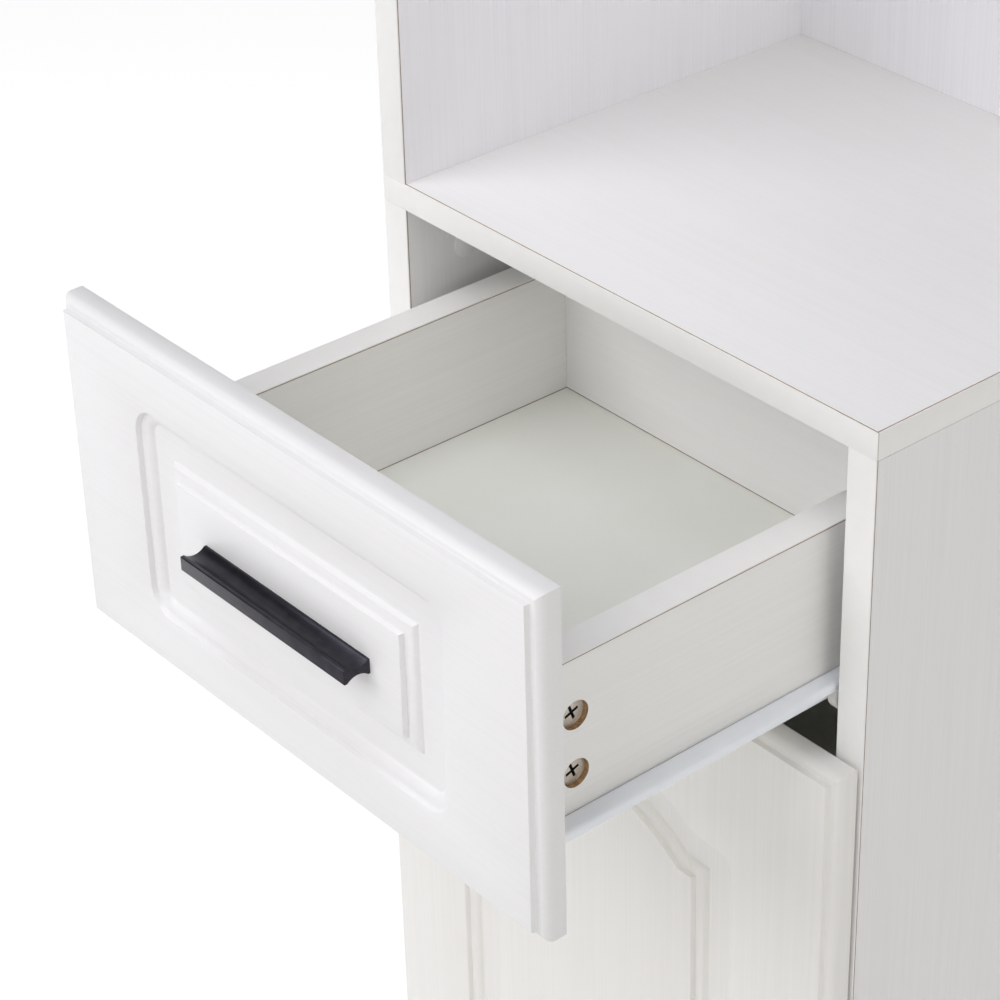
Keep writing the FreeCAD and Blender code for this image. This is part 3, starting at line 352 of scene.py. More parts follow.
def powderCoat(name, pale, dark):
    # baked powder on folded steel: cool white and satin, with an orange-peel skin about 1 mm coarse
    values = coatValues
    material, tree, place = startMaterial(name)
    cloud = addNode(tree, "ShaderNodeTexNoise", {},
                    {"Vector": place, "Scale": 1 / values["cloudSize"], "Detail": 2.0})["Fac"]
    colour = mixByPattern(tree, cloud, values["cloudSpan"], pale, dark)
    peel = addNode(tree, "ShaderNodeTexNoise", {},
                   {"Vector": place, "Scale": 1 / values["peelSize"], "Detail": 2.0,
                    "Roughness": 0.4})["Fac"]
    gloss = addNode(tree, "ShaderNodeMapRange", {},
                    {"Value": peel, "From Min": 0.3, "From Max": 0.7,
                     "To Min": values["gloss"][0], "To Max": values["gloss"][1]})["Result"]
    finishSurface(tree, peel, values["reliefDepth"], values["reliefStrength"],
                  {"Base Color": colour, "Roughness": gloss, "IOR": 1.5, "Specular IOR Level": 0.5,
                   "Coat Weight": values["coat"][0], "Coat Roughness": values["coat"][1]})
    return material


def paintedFloor(name):
    # seamless studio floor: matt white paint with the faintest unevenness, and a painted glow
    # (emission) that
    #     # grows behind the cabinet and far from it, so that it runs out to white
    material, tree, place = startMaterial(name)
    cloud = addNode(tree, "ShaderNodeTexNoise", {},
                    {"Vector": place, "Scale": studio["floorCloud"], "Detail": 2.0})["Fac"]
    pale, dark = linearColour(studio["floorPale"]), linearColour(studio["floorDark"])
    colour = addNode(tree, "ShaderNodeMix", {"data_type": "RGBA"}, {0: cloud, 6: pale, 7: dark})[2]
    behind = addNode(tree, "ShaderNodeVectorMath", {"operation": "DOT_PRODUCT"},
                     {0: place, 1: studio["glowDirection"]})["Value"]
    distance = addNode(tree, "ShaderNodeVectorMath", {"operation": "LENGTH"}, {0: place})["Value"]
    glows = [
        addNode(tree, "ShaderNodeMapRange", {"interpolation_type": "SMOOTHSTEP"},
                {"Value": value, "From Min": span[0], "From Max": span[1],
                 "To Max": studio["floorGlow"]})["Result"]
        for value, span in ((behind, studio["glowSpan"]), (distance, studio["glowRing"]))
    ]
    strength = addNode(tree, "ShaderNodeMath", {"operation": "MAXIMUM"}, {0: glows[0], 1: glows[1]})[0]
    shader = addNode(tree, "ShaderNodeBsdfPrincipled", {},
                     {"Base Color": colour, "Roughness": 0.9, "Specular IOR Level": 0.1,
                      "Emission Color": linearColour("#ffffff"), "Emission Strength": strength})
    addNode(tree, "ShaderNodeOutputMaterial", {}, {"Surface": shader["BSDF"]})
    return material


# melamine in the batches and grain directions of the boards, with painted light in a brighter, cooler
# copy for the upper niche, and the fronts' vacuum-pressed foil
melamineUpright = woodgrainMelamine("melamineUprightGrain", "z", "#f3f2f2", "#efeeed")
# a brighter, cooler copy of the upright melamine: painted light on the upper niche's side and back
melamineLitUpright = woodgrainMelamine("melamineLitCopyUpright", "z", "#f9f8fc", "#f4f3f7")
melamineAcross = woodgrainMelamine("melamineAcrossGrain", "x", "#f7f6f6", "#f5f4f3")
melamineDeep = woodgrainMelamine("melamineDeepGrain", "y", "#f8f7f4", "#f5f4f1")
# the door's foil is a warmer, slightly darker copy of the drawer front's: painted shade of the open
# drawer
foilShadedUpright = woodgrainMelamine("doorFoilShadedCopy", "z", "#f4f2ee", "#f1efeb", 1.3, 0.38)
foilAcross = woodgrainMelamine("foilAcrossGrain", "x", "#f4f3f3", "#f2f1f1", 1.3, 0.38)
# satin ABS tape on brown glue, whose colour also paints the shade in the drawer floor's groove, waxy
# nylon and polythene, and clear soft bumpers
edgeBand = plainPlastic("edgeBandAbs", "#f7f6f4", "#f5f4f1", 0.42, 0.7, 0.01)
glueAndGapShade = plainPlastic("glueAndGapShade", "#a48e82", "#8e786b", 0.7, 0.5, 0.03)
nylon = plainPlastic("mouldedNylon", "#eeece6", "#e6e4dc", 0.4, 0.6, 0.02)
polythene = plainPlastic("mouldedPolythene", "#deddd8", "#d3d2cc", 0.45, 0.8, 0.03)
softClear = plainPlastic("clearSoftPlastic", "#e9eceb", "#e1e5e4", 0.25, 0.5, 0.01, 0.55)
# brushed black handles, grainy cast cams, dull screws, brighter hinges, and painted shade (black) in
# the recesses
blackTones = ("#444349", "#35343a")
blackAnodised = metalFinish("blackAnodisedAluminium", *blackTones, 0.34, (90, 0.5, 0.5), 0.01)
blackAnodisedUpright = metalFinish("blackAnodisedAluminiumUpright", *blackTones, 0.34,
                                   (0.5, 0.5, 90), 0.01)
castZinc = metalFinish("dieCastZinc", "#e6ded4", "#c0b6aa", 0.5, (0.9, 0.9, 0.9), 0.05)
platedSteel = metalFinish("zincPlatedSteel", "#c9c8c6", "#b2b1ae", 0.3, (0.8, 0.8, 0.8), 0.02)
nickelPlate = metalFinish("nickelPlatedSteel", "#d2cfc8", "#c0bdb5", 0.24, (1.6, 1.6, 1.6), 0.01)
# black for the cross recesses: painted shade
recessShadeBlack = plainPlastic("recessPaintedShade", "#1c1917", "#0e0c0b", 0.6, 0.6, 0.05)
# raw boards, the white coats and the wood of the blocks and dowels
chipboard = pressedChips("rawChipboard")
fibreboard = plainPlastic("rawFibreboard", "#bda07a", "#ab8d67", 0.8, 0.5, 0.08)
hardboard = lacqueredHardboard("lacqueredHardboard", "#f6f7f1", "#f3f4ec", "#e4e6de")
slideWhite = powderCoat("whitePowderCoat", "#f8fbff", "#f2f6fd")
beechUpright = planedBeech("planedBeechUpright", "z")
print("materials made:", len(bpy.data.materials))


# shared mesh work

meshValues = {
    # angles in degrees
    "weld": 0.002 * mm,
    "flatAngle": 0.6,
    "cornerAngle": 30.0,
    "cutWeld": 0.001 * mm,
    "sameLevel": 0.01 * mm,
}


def finishPiece(name, bm, body, materials, sharpAngle=None, replaced=()):
    # turns a bmesh into a piece that rides on its body
    mesh = bpy.data.meshes.new(name)
    bm.to_mesh(mesh)
    bm.free()
    piece = bpy.data.objects.new(name, mesh)
    bpy.context.scene.collection.objects.link(piece)
    for material in materials:
        mesh.materials.append(material)
    if sharpAngle is not None:
        mesh.shade_smooth()
        mesh.set_sharp_from_angle(angle=math.radians(sharpAngle))
    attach(piece, body)
    if replaced:
        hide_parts(*replaced)


def softenEdges(bm, width, segments=2):
    # rounds every edge that is sharper than the corner angle
    bm.normal_update()
    corner = math.radians(meshValues["cornerAngle"])
    edges = [e for e in bm.edges if e.is_manifold and e.calc_face_angle(0.0) > corner]
    bmesh.ops.bevel(bm, geom=edges, offset=width, offset_type="OFFSET", segments=segments, profile=0.5,
                    affect="EDGES", clamp_overlap=True, material=-1)


def nodeCopy(node, flatten=True):
    # a merged copy of a CAD node's triangles, with flat areas joined
    bm = bmesh.new()
    bm.from_mesh(nodes[node].data)
    bmesh.ops.remove_doubles(bm, verts=bm.verts, dist=meshValues["weld"])
    if flatten:
        bmesh.ops.dissolve_limit(bm, angle_limit=math.radians(meshValues["flatAngle"]), verts=bm.verts,
                                 edges=bm.edges)
    return bm


def boxMesh(bm, low, high):
    # a box between two corners
    made = bmesh.ops.create_cube(bm, size=1.0)["verts"]
    bmesh.ops.scale(bm, vec=Vector(high) - Vector(low), verts=made)
    bmesh.ops.translate(bm, vec=(Vector(low) + Vector(high)) / 2, verts=made)


def directed(point, direction):
    # matrix that puts the origin at the point and turns z along the direction
    direction = Vector(direction).normalized()
    side = axisX if abs(direction.x) < 0.9 else axisZ
    across = direction.cross(side).normalized()
    up = direction.cross(across)
    turn = Matrix((across, up, direction)).transposed().to_4x4()
    return Matrix.Translation(point) @ turn


# boards

boardValues = {
    # the glue is drawn thicker than a real line of 0.1 mm so that it shows; it starts inside the band
    "bandThickness": 0.8 * mm,
    "glueThickness": 0.32 * mm,
    "glueSink": 0.10 * mm,
    "glueStart": 0.5,
    "bandRound": 0.35 * mm,
    "coreRound": 0.12 * mm,
    "sharpAngle": 25,
}

# axis and direction of each banded side
sideVectors = {"front": (1, -1), "left": (0, -1), "right": (0, 1), "top": (2, 1)}


def edgeStrip(bm, low, high, side, near, far, sink):
    # a strip along one side of a board, from near to far behind its edge, and sunk all round
    axis, sign = sideVectors[side]
    stripLow, stripHigh = Vector(low), Vector(high)
    for other in range(3):
        if other != axis:
            stripLow[other] += sink
            stripHigh[other] -= sink
    if sign < 0:
        stripLow[axis], stripHigh[axis] = low[axis] + near, low[axis] + far
    else:
        stripLow[axis], stripHigh[axis] = high[axis] - far, high[axis] - near
    boxMesh(bm, stripLow, stripHigh)


def dressBoard(node, body, slot, thicknessAxis, bands, facing, rawMaterial=chipboard):
    # a board as it is made: faced core with raw edges, and edge bands on a fine glue line
    values = boardValues
    band, glueLayer = values["bandThickness"], values["glueThickness"]
    low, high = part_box(node)
    coreLow, coreHigh = Vector(low), Vector(high)
    core, strips, glue = nodeCopy(node), bmesh.new(), bmesh.new()
    for side in bands:
        axis, sign = sideVectors[side]
        edgeStrip(strips, coreLow, coreHigh, side, 0.0, band, 0.0)
        edgeStrip(glue, coreLow, coreHigh, side, band * values["glueStart"], band + glueLayer * 2,
                  values["glueSink"])
        # the core ends where the band and its glue begin
        point = Vector(coreLow) if sign < 0 else Vector(coreHigh)
        point[axis] -= sign * (band + glueLayer)
        normal = Vector((0, 0, 0))
        normal[axis] = sign
        bmesh.ops.bisect_plane(core, geom=core.verts[:] + core.edges[:] + core.faces[:],
                               dist=meshValues["cutWeld"], plane_co=point, plane_no=normal,
                               clear_outer=True)
        bmesh.ops.holes_fill(core, edges=[e for e in core.edges if e.is_boundary], sides=0)
        if sign < 0:
            coreLow[axis] += band
        else:
            coreHigh[axis] -= band
    bmesh.ops.recalc_face_normals(core, faces=core.faces)
    for face in core.faces:
        level = face.calc_center_median()[thicknessAxis]
        offFace = min(abs(level - low[thicknessAxis]), abs(level - high[thicknessAxis]))
        flat = abs(face.normal[thicknessAxis]) > 0.99 and offFace < meshValues["sameLevel"]
        face.material_index = 0 if flat else 1
    softenEdges(core, values["coreRound"], 1)
    finishPiece(node + "_board", core, body, [facing, rawMaterial], values["sharpAngle"], (node,))
    if bands:
        softenEdges(strips, values["bandRound"], 3)
        finishPiece(node + "_edge_bands", strips, body, [edgeBand], values["sharpAngle"])
        finishPiece(node + "_glue_line", glue, body, [glueAndGapShade])
    else:
        strips.free()
        glue.free()


boardPlan = [
    # node, body, slot, thickness axis, banded sides, facing
    ("lower_side_right", "cabinet", "woodgrain_board", 0, ("front",), melamineUpright),
    ("lower_side_left", "cabinet", "woodgrain_board", 0, ("front",), melamineUpright),
    ("middle_board", "cabinet", "woodgrain_board", 2, ("front", "right", "left"), melamineAcross),
    ("bottom_board", "cabinet", "woodgrain_board", 2, ("front",), melamineAcross),
    ("plinth", "cabinet", "woodgrain_board", 1, (), melamineAcross),
    ("cupboard_shelf", "cabinet", "woodgrain_board", 2, ("front",), melamineAcross),
    # the upper niche's side and back take the brighter, cooler melamine, which is painted light
    ("upper_side", "cabinet", "woodgrain_board", 0, ("front",), melamineLitUpright),
    ("upper_back", "cabinet", "woodgrain_board", 1, ("right",), melamineLitUpright),
    ("upper_shelf", "cabinet", "woodgrain_board", 2, ("front", "right"), melamineAcross),
    ("top_board", "cabinet", "woodgrain_board", 2, ("front", "right", "left"), melamineAcross),
    ("drawer_side_right", "drawer", "drawer_board", 0, ("top",), melamineDeep),
    ("drawer_side_left", "drawer", "drawer_board", 0, ("top",), melamineDeep),
    ("drawer_back", "drawer", "drawer_board", 1, ("top",), melamineAcross),
]
for plan in boardPlan:
    dressBoard(*plan)
dressBoard("drawer_floor", "drawer", "thin_board", 2, (), hardboard, fibreboard)
dressBoard("lower_back", "cabinet", "thin_board", 1, (), hardboard, fibreboard)

seamShadeValues = {
    "height": 0.5 * mm,
    "proud": 0.06 * mm,
    "sink": 0.04 * mm,
}


def drawerSeamShade():
    # the raw upper edge of the groove that the drawer's floor sits in, with the shade in the gap there,
    # as a painted dark brown line round the floor
    values = seamShadeValues
    left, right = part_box("drawer_side_left")[1][0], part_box("drawer_side_right")[0][0]
    front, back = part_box("drawer_front")[1][1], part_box("drawer_back")[0][1]
    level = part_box("drawer_floor")[1][2]
    top = level + values["height"]
    bm = bmesh.new()
    boxMesh(bm, (left - values["sink"], front, level), (left + values["proud"], back, top))
    boxMesh(bm, (right - values["proud"], front, level), (right + values["sink"], back, top))
    boxMesh(bm, (left, back - values["proud"], level), (right, back + values["sink"], top))
    finishPiece("drawer_floor_seam_shade", bm, "drawer", [glueAndGapShade])


drawerSeamShade()
print("boards dressed")


# routed fronts

frontValues = {
    # millimetres and degrees, as the fronts are shaped at that scale and brought to metres at the end
    "arcSteps": 8,
    "rimRound": 6.0,
    "rimSlope": 15,
    "rimFoot": 1.2,
    "rimWall": (0.4, 2.2),
    "wallSlope": 80,
    "stepDown": 2.8,
    "stepDraft": 0.5,
    "ledge": 1.6,
    "ovoloRound": 7.0,
    "ovoloSlope": 52,
    "footRound": 1.0,
    "footSteps": 3,
    "floor": 14.3,
    "cornerRound": 15.0,
    "cornerSteps": 10,
    "softEdge": 0.35,
    "cupRadius": 17.55,
    "cupDepth": 11.6,
    "cupSteps": 48,
    "weld": 0.01,
    "sharpLine": 32,
    "smoothAngle": 40,
}


def arcMoves(radius, start, end, steps):
    # (across, down) moves along a round whose slope runs from start to end, in degrees
    angles = [math.radians(start + (end - start) * i / steps) for i in range(steps + 1)]
    return [(abs(math.sin(b) - math.sin(a)) * radius, abs(math.cos(a) - math.cos(b)) * radius)
            for a, b in zip(angles, angles[1:])]


def frontFace(bm, level):
    # the largest face that looks to the front at this depth
    bm.normal_update()
    near = [f for f in bm.faces
            if abs(f.normal.y) > 0.9 and abs(f.calc_center_median().y - level) < frontValues["weld"]]
    face = max(near, key=lambda f: f.calc_area())
    if face.normal.y > 0:
        face.normal_flip()
    return face


def insetMoves(bm, face, moves):
    # insets one face again and again; down is away from the front
    for across, down in moves:
        bmesh.ops.inset_region(bm, faces=[face], thickness=across, depth=-down, use_even_offset=True,
                               use_boundary=True)


def panelOutline(bm, level, corners, arch):
    # the line of a panel or a field at its depth: straight sides, with an arch where there is one
    verts = [bm.verts.new((x, level, z)) for x, z in corners]
    for first, second in zip(verts, verts[1:] + verts[:1]):
        if arch and first is verts[arch["start"]]:
            bmesh.ops.spin(bm, geom=[first], cent=(0, level, arch["centre"]), axis=(0, -1, 0),
                           angle=arch["sweep"], steps=arch["steps"], use_duplicate=False)
        else:
            bm.edges.new((first, second))
    loose = [v for v in bm.verts if not v.link_faces]
    bmesh.ops.remove_doubles(bm, verts=loose, dist=frontValues["weld"])
    bmesh.ops.contextual_create(bm, geom=[e for e in bm.edges if e.is_wire])


def roundCorners(bm, level, places):
    # rounds the panel's square corners before it is let in
    near = frontValues["weld"]
    square = [v for v in frontFace(bm, level).verts
              if any((v.co - place).length < near for place in places)]
    bmesh.ops.bevel(bm, geom=square, offset=frontValues["cornerRound"], offset_type="OFFSET",
                    segments=frontValues["cornerSteps"], profile=0.5, affect="VERTICES",
                    clamp_overlap=False, material=-1)


def routedFront(name, node, body, outline, squareCorners, facing, cups=()):
    # slab with a stepped and rounded rim, a routed frame groove and a raised field
    values = frontValues
    low, high = [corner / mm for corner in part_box(node)]
    corners, arch = outline(low, high, 0.0)
    bm = bmesh.new()
    rim = arcMoves(values["rimRound"], 90, values["rimSlope"], values["arcSteps"])
    rim += arcMoves(values["rimFoot"], values["rimSlope"], values["wallSlope"], values["footSteps"])
    rim.append(values["rimWall"])
    rimDepth = sum(down for across, down in rim)
    boxMesh(bm, (low.x, low.y + rimDepth, low.z), high)
    face = frontFace(bm, low.y + rimDepth)
    insetMoves(bm, face, [(across, -down) for across, down in rim])
    rimEdges = list(face.edges)
    bmesh.ops.delete(bm, geom=[face], context="FACES_ONLY")
    panelOutline(bm, low.y, corners, arch)
    places = [Vector((corners[i][0], low.y, corners[i][1])) for i in squareCorners]
    groove = [(values["stepDraft"], values["stepDown"]), (values["ledge"], 0.0)]
    groove += arcMoves(values["ovoloRound"], 0, values["ovoloSlope"], values["arcSteps"])
    groove += arcMoves(values["footRound"], values["ovoloSlope"], 0, values["footSteps"])
    reach = sum(across for across, down in groove)
    footLevel = low.y + sum(down for across, down in groove)
    roundCorners(bm, low.y, places)
    panel = frontFace(bm, low.y)
    bmesh.ops.triangle_fill(bm, use_beauty=True, edges=rimEdges + list(panel.edges), normal=(0, -1, 0))
    # the groove down to its rounded foot, then its floor and the raised field with mitred corners
    insetMoves(bm, frontFace(bm, low.y), groove)
    sunk = frontFace(bm, footLevel)
    footEdges = list(sunk.edges)
    bmesh.ops.delete(bm, geom=[sunk], context="FACES_ONLY")
    panelOutline(bm, footLevel, *outline(low, high, reach + values["floor"]))
    field = frontFace(bm, footLevel)
    bmesh.ops.triangle_fill(bm, use_beauty=True, edges=footEdges + list(field.edges), normal=(0, -1, 0))
    insetMoves(bm, field, [(across, -down) for across, down in reversed(groove)])
    for centre in cups:
        sinkCup(bm, high.y, centre)
    bmesh.ops.recalc_face_normals(bm, faces=bm.faces)
    # the routed lines are softened, and the mitres between them stay crisp
    sharp = math.radians(values["sharpLine"])
    lines = [e for e in bm.edges if e.calc_face_angle(0.0) > sharp
             and abs(e.verts[0].co.y - e.verts[1].co.y) < values["weld"]]
    bmesh.ops.bevel(bm, geom=lines, offset=values["softEdge"], offset_type="OFFSET", segments=2,
                    profile=0.5, affect="EDGES", clamp_overlap=True, material=-1)
    bmesh.ops.scale(bm, vec=(mm, mm, mm), verts=bm.verts)
    finishPiece(name, bm, body, [facing, chipboard], values["smoothAngle"], (node,))


def sinkCup(bm, level, centre):
    # round pocket for a hinge cup in the back of the door
    values = frontValues
    bm.normal_update()
    around = [f for f in bm.faces
              if f.normal.y > 0.9 and all(abs(v.co.y - level) < values["weld"] for v in f.verts)]
    rim = [e for f in around for e in f.edges if sum(g in around for g in e.link_faces) == 1]
    bmesh.ops.delete(bm, geom=around, context="FACES_ONLY")
    placed = Matrix.Translation((centre[0], level, centre[1])) @ Matrix.Rotation(math.pi / 2, 4, "X")
    ring = bmesh.ops.create_circle(bm, segments=values["cupSteps"], radius=values["cupRadius"],
                                   matrix=placed)["verts"]
    ringEdges = list({e for v in ring for e in v.link_edges})
    bmesh.ops.triangle_fill(bm, use_beauty=True, edges=rim + ringEdges, normal=(0, 1, 0))
    walls = bmesh.ops.extrude_edge_only(bm, edges=ringEdges)["geom"]
    deep = [v for v in walls if isinstance(v, bmesh.types.BMVert)]
    bmesh.ops.translate(bm, vec=(0, -values["cupDepth"], 0), verts=deep)
    ends = [e for e in walls if isinstance(e, bmesh.types.BMEdge) and all(v in deep for v in e.verts)]
    base = bmesh.ops.contextual_create(bm, geom=ends)["faces"]
    for face in base + [f for f in walls if isinstance(f, bmesh.types.BMFace)]:
        face.material_index = 1


doorPanel = {
    # in millimetres too; halfSpan and rise are those of the raised field's arch, and archGrowth is
    # the way from there out to the groove's outer line
    "stile": 68,
    "bottomRail": 68,
    "shoulderDrop": 86,
    "halfSpan": 72,
    "rise": 24,
    "archGrowth": 22.3,
    "archSteps": 40,
    "cupInset": 22.5,
    "cupDistance": 90,
}

drawerPanel = {
    "stile": 62,
    "rail": 34,
}


def drawerOutline(low, high, inset):
    # corners of the drawer's panel, let in by the inset
    left, right = low.x + drawerPanel["stile"] + inset, high.x - drawerPanel["stile"] - inset
    foot, head = low.z + drawerPanel["rail"] + inset, high.z - drawerPanel["rail"] - inset
    return [(left, foot), (right, foot), (right, head), (left, head)], None


def doorOutline(low, high, inset):
    # corners and cathedral arch of the door's panel, let in by the inset
    left, right = low.x + doorPanel["stile"] + inset, high.x - doorPanel["stile"] - inset
    foot, shoulder = low.z + doorPanel["bottomRail"] + inset, high.z - doorPanel["shoulderDrop"] - inset
    halfSpan, rise, growth = doorPanel["halfSpan"], doorPanel["rise"], doorPanel["archGrowth"]
    radius = (halfSpan ** 2 + rise ** 2) / (2 * rise)
    centre = shoulder + inset - growth - math.sqrt(radius ** 2 - halfSpan ** 2)
    spring = math.sqrt((radius + growth - inset) ** 2 - (shoulder - centre) ** 2)
    sweep = math.pi - 2 * math.atan2(shoulder - centre, spring)
    corners = [(left, foot), (right, foot), (right, shoulder), (spring, shoulder), (-spring, shoulder),
               (left, shoulder)]
    return corners, {"start": 3, "centre": centre, "sweep": sweep, "steps": doorPanel["archSteps"]}


routedFront("drawer_front_panel", "drawer_front", "drawer", drawerOutline, (0, 1, 2, 3), foilAcross)
low, high = [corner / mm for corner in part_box("door_leaf")]
cupX = high.x - doorPanel["cupInset"]
cupPlaces = [(cupX, low.z + doorPanel["cupDistance"]), (cupX, high.z - doorPanel["cupDistance"])]
# the door takes the warmer foil copy, which is painted shade
routedFront("door_panel", "door_leaf", "door", doorOutline, (0, 1, 2, 5), foilShadedUpright, cupPlaces)
print("fronts routed")


# fasteners

headValues = {
    # the shares are of the head's radius, and flatShare is of its flat top
    "segments": 32,
    "armShare": 0.56,
    "widthShare": 0.2,
    "depthShare": 0.28,
    "taper": 0.75,
    "shankShare": 0.48,
    "tipShare": 0.05,
    "wideShare": 0.98,
    "flatShare": 0.9,
    "cutWeld": 0.0001 * mm,
    "sharpAngle": 30,
}

# (radius, height) shares of each kind of head, from its flat top outwards
panHead = [(0.5, 1.0), (0.72, 0.93), (0.88, 0.75), (0.97, 0.45), (1.0, 0.12), (0.97, 0.0)]
flatHead = [(0.92, 1.0), (0.985, 0.97), (1.0, 0.9), (0.5, 0.0)]
trussHead = [(0.55, 1.0), (0.78, 0.86), (0.93, 0.6), (1.0, 0.25), (0.98, 0.0)]


def solidsOf(node):
    # lowest corner, highest corner and points of each separate solid in a node
    bm = nodeCopy(node, False)
    bm.verts.index_update()
    found, seen = [], set()
    for start in bm.verts:
        if start.index in seen:
            continue
        seen.add(start.index)
        points, waiting = [], [start]
        while waiting:
            vert = waiting.pop()
            points.append(vert.co.copy())
            for other in [edge.other_vert(vert) for edge in vert.link_edges]:
                if other.index not in seen:
                    seen.add(other.index)
                    waiting.append(other)
        low = Vector([min(point[i] for point in points) for i in range(3)])
        high = Vector([max(point[i] for point in points) for i in range(3)])
        found.append((low, high, points))
    bm.free()
    return found


def screwsOf(node):
    # outer end, direction, head radius, head height and whole length of each screw in a node
    found = []
    for low, high, points in solidsOf(node):
        size, middle = high - low, (low + high) / 2
        axis = max(range(3), key=lambda i: size[i])
        radius = size[(axis + 1) % 3] / 2
        along = Vector([1.0 if i == axis else 0.0 for i in range(3)])
        arms = [(point, (point - middle) - along * (point - middle).dot(along)) for point in points]
        wide = [point[axis] for point, arm in arms if arm.length > headValues["wideShare"] * radius]
        atLow = sum(wide) / len(wide) < middle[axis]
        end = Vector(middle)
        end[axis] = low[axis] if atLow else high[axis]
        found.append((end, along if atLow else -along, radius, max(wide) - min(wide), size[axis]))
    return found


def growRing(bm, edges, scale, rise):
    # carries an open ring on to the next radius and height
    made = bmesh.ops.extrude_edge_only(bm, edges=edges)["geom"]
    verts = [v for v in made if isinstance(v, bmesh.types.BMVert)]
    bmesh.ops.scale(bm, vec=(scale, scale, 1), verts=verts)
    bmesh.ops.translate(bm, vec=(0, 0, rise), verts=verts)
    return list({e for v in verts for e in v.link_edges if all(w in verts for w in e.verts)})


def crossedDisc(radius, height, profile, cross):
    # round head about z, with a cross recess in its top
    bm = bmesh.new()
    top = height * profile[0][1]
    bmesh.ops.create_circle(bm, segments=headValues["segments"], radius=radius * profile[0][0],
                            cap_ends=True, matrix=Matrix.Translation((0, 0, top)))
    arm = radius * min(cross["armShare"], profile[0][0] * headValues["flatShare"])
    half = radius * cross["widthShare"] / 2
    for axis in (axisX, axisY):
        for reach in (-arm, -half, half, arm):
            bmesh.ops.bisect_plane(bm, geom=bm.verts[:] + bm.edges[:] + bm.faces[:],
                                   dist=headValues["cutWeld"], plane_co=axis * reach, plane_no=axis)
    edges = [e for e in bm.edges if e.is_boundary]
    arms = []
    for face in bm.faces:
        near, far = sorted(abs(value) for value in face.calc_center_median().xy)
        if near < half and far < arm:
            arms.append(face)
    sunk = bmesh.ops.extrude_face_region(bm, geom=arms)["geom"]
    bmesh.ops.delete(bm, geom=arms, context="FACES")
    bottom = [v for v in sunk if isinstance(v, bmesh.types.BMVert)]
    bmesh.ops.scale(bm, vec=(cross["taper"], cross["taper"], 1), verts=bottom)
    bmesh.ops.translate(bm, vec=(0, 0, -radius * cross["depthShare"]), verts=bottom)
    # the recess's walls and floor take the second material, whose black is painted shade
    for face in {f for v in bottom for f in v.link_faces}:
        face.material_index = 1
    for before, after in zip(profile, profile[1:]):
        edges = growRing(bm, edges, after[0] / before[0], height * (after[1] - before[1]))
    return bm, edges


def stamped(bm, part, placed):
    # adds a shaped part at its place
    bmesh.ops.recalc_face_normals(part, faces=part.faces)
    mesh = bpy.data.meshes.new("stamp")
    part.to_mesh(mesh)
    part.free()
    count = len(bm.verts)
    bm.from_mesh(mesh)
    bpy.data.meshes.remove(mesh)
    bm.verts.ensure_lookup_table()
    bmesh.ops.transform(bm, matrix=placed, verts=bm.verts[count:])


def dressScrews(node, body, profile, metal):
    # screws with a cross recess, each over the solid that it stands for
    values = headValues
    bm = bmesh.new()
    for end, direction, radius, height, length in screwsOf(node):
        head, edges = crossedDisc(radius, height, profile, values)
        shank = values["shankShare"] * radius
        edges = growRing(head, edges, shank / (radius * profile[-1][0]), 0)
        edges = growRing(head, edges, 1.0, -(length - height - shank))
        edges = growRing(head, edges, values["tipShare"], -shank)
        bmesh.ops.contextual_create(head, geom=edges)
        stamped(bm, head, directed(end + direction * height, -direction))
    finishPiece(node + "_crossed", bm, body, [metal, recessShadeBlack], values["sharpAngle"], (node,))


camValues = {
    "radius": 7.4 * mm,
    "turn": 20,
    "profile": [(0.80, 0.965), (0.86, 0.97), (0.88, 1.0), (0.97, 1.0), (1.0, 0.97), (1.0, 0.0)],
    "armShare": 0.54,
    "widthShare": 0.21,
    "depthShare": 0.28,
    "taper": 0.8,
    "recess": 2.5 * mm,
    "capRadius": 8.6 * mm,
    "capThickness": 0.9 * mm,
    "capRound": 0.3 * mm,
    "capSegments": 40,
}


def thinAxis(size):
    # the axis that a disc is thin along
    return min(range(3), key=lambda i: size[i])


def dressCams(node, body, outward):
    # die-cast cams: discs with a raised rim and a cross recess; in a side they face outward (1) or
    # inward (-1), and in a board they face down
    values = camValues
    bm = bmesh.new()
    for low, high, points in solidsOf(node):
        size, middle = high - low, (low + high) / 2
        axis = thinAxis(size)
        sign = outward * math.copysign(1, middle.x) if axis == 0 else -1
        direction = Vector([sign if i == axis else 0.0 for i in range(3)])
        disc, edges = crossedDisc(values["radius"], size[axis], values["profile"], values)
        bmesh.ops.contextual_create(disc, geom=edges)
        back = middle - direction * size[axis] / 2
        turn = Matrix.Rotation(math.radians(values["turn"]), 4, "Z")
        stamped(bm, disc, directed(back, direction) @ turn)
    materials = [castZinc, recessShadeBlack]
    finishPiece(node + "_crossed", bm, body, materials, headValues["sharpAngle"], (node,))


def coverCams(name, node, body, material):
    # thin caps over the cams in the sides, because the photo shows a plain wall inside
    values = camValues
    bm = bmesh.new()
    for low, high, points in solidsOf(node):
        size, seat = high - low, (low + high) / 2
        if thinAxis(size) != 0:
            continue
        seat.x -= math.copysign(size.x / 2 + values["recess"] + values["capThickness"] / 2, seat.x)
        bmesh.ops.create_cone(bm, cap_ends=True, segments=values["capSegments"],
                              radius1=values["capRadius"], radius2=values["capRadius"],
                              depth=values["capThickness"], matrix=directed(seat, axisX))
    softenEdges(bm, values["capRound"])
    finishPiece(name, bm, body, [material], headValues["sharpAngle"])


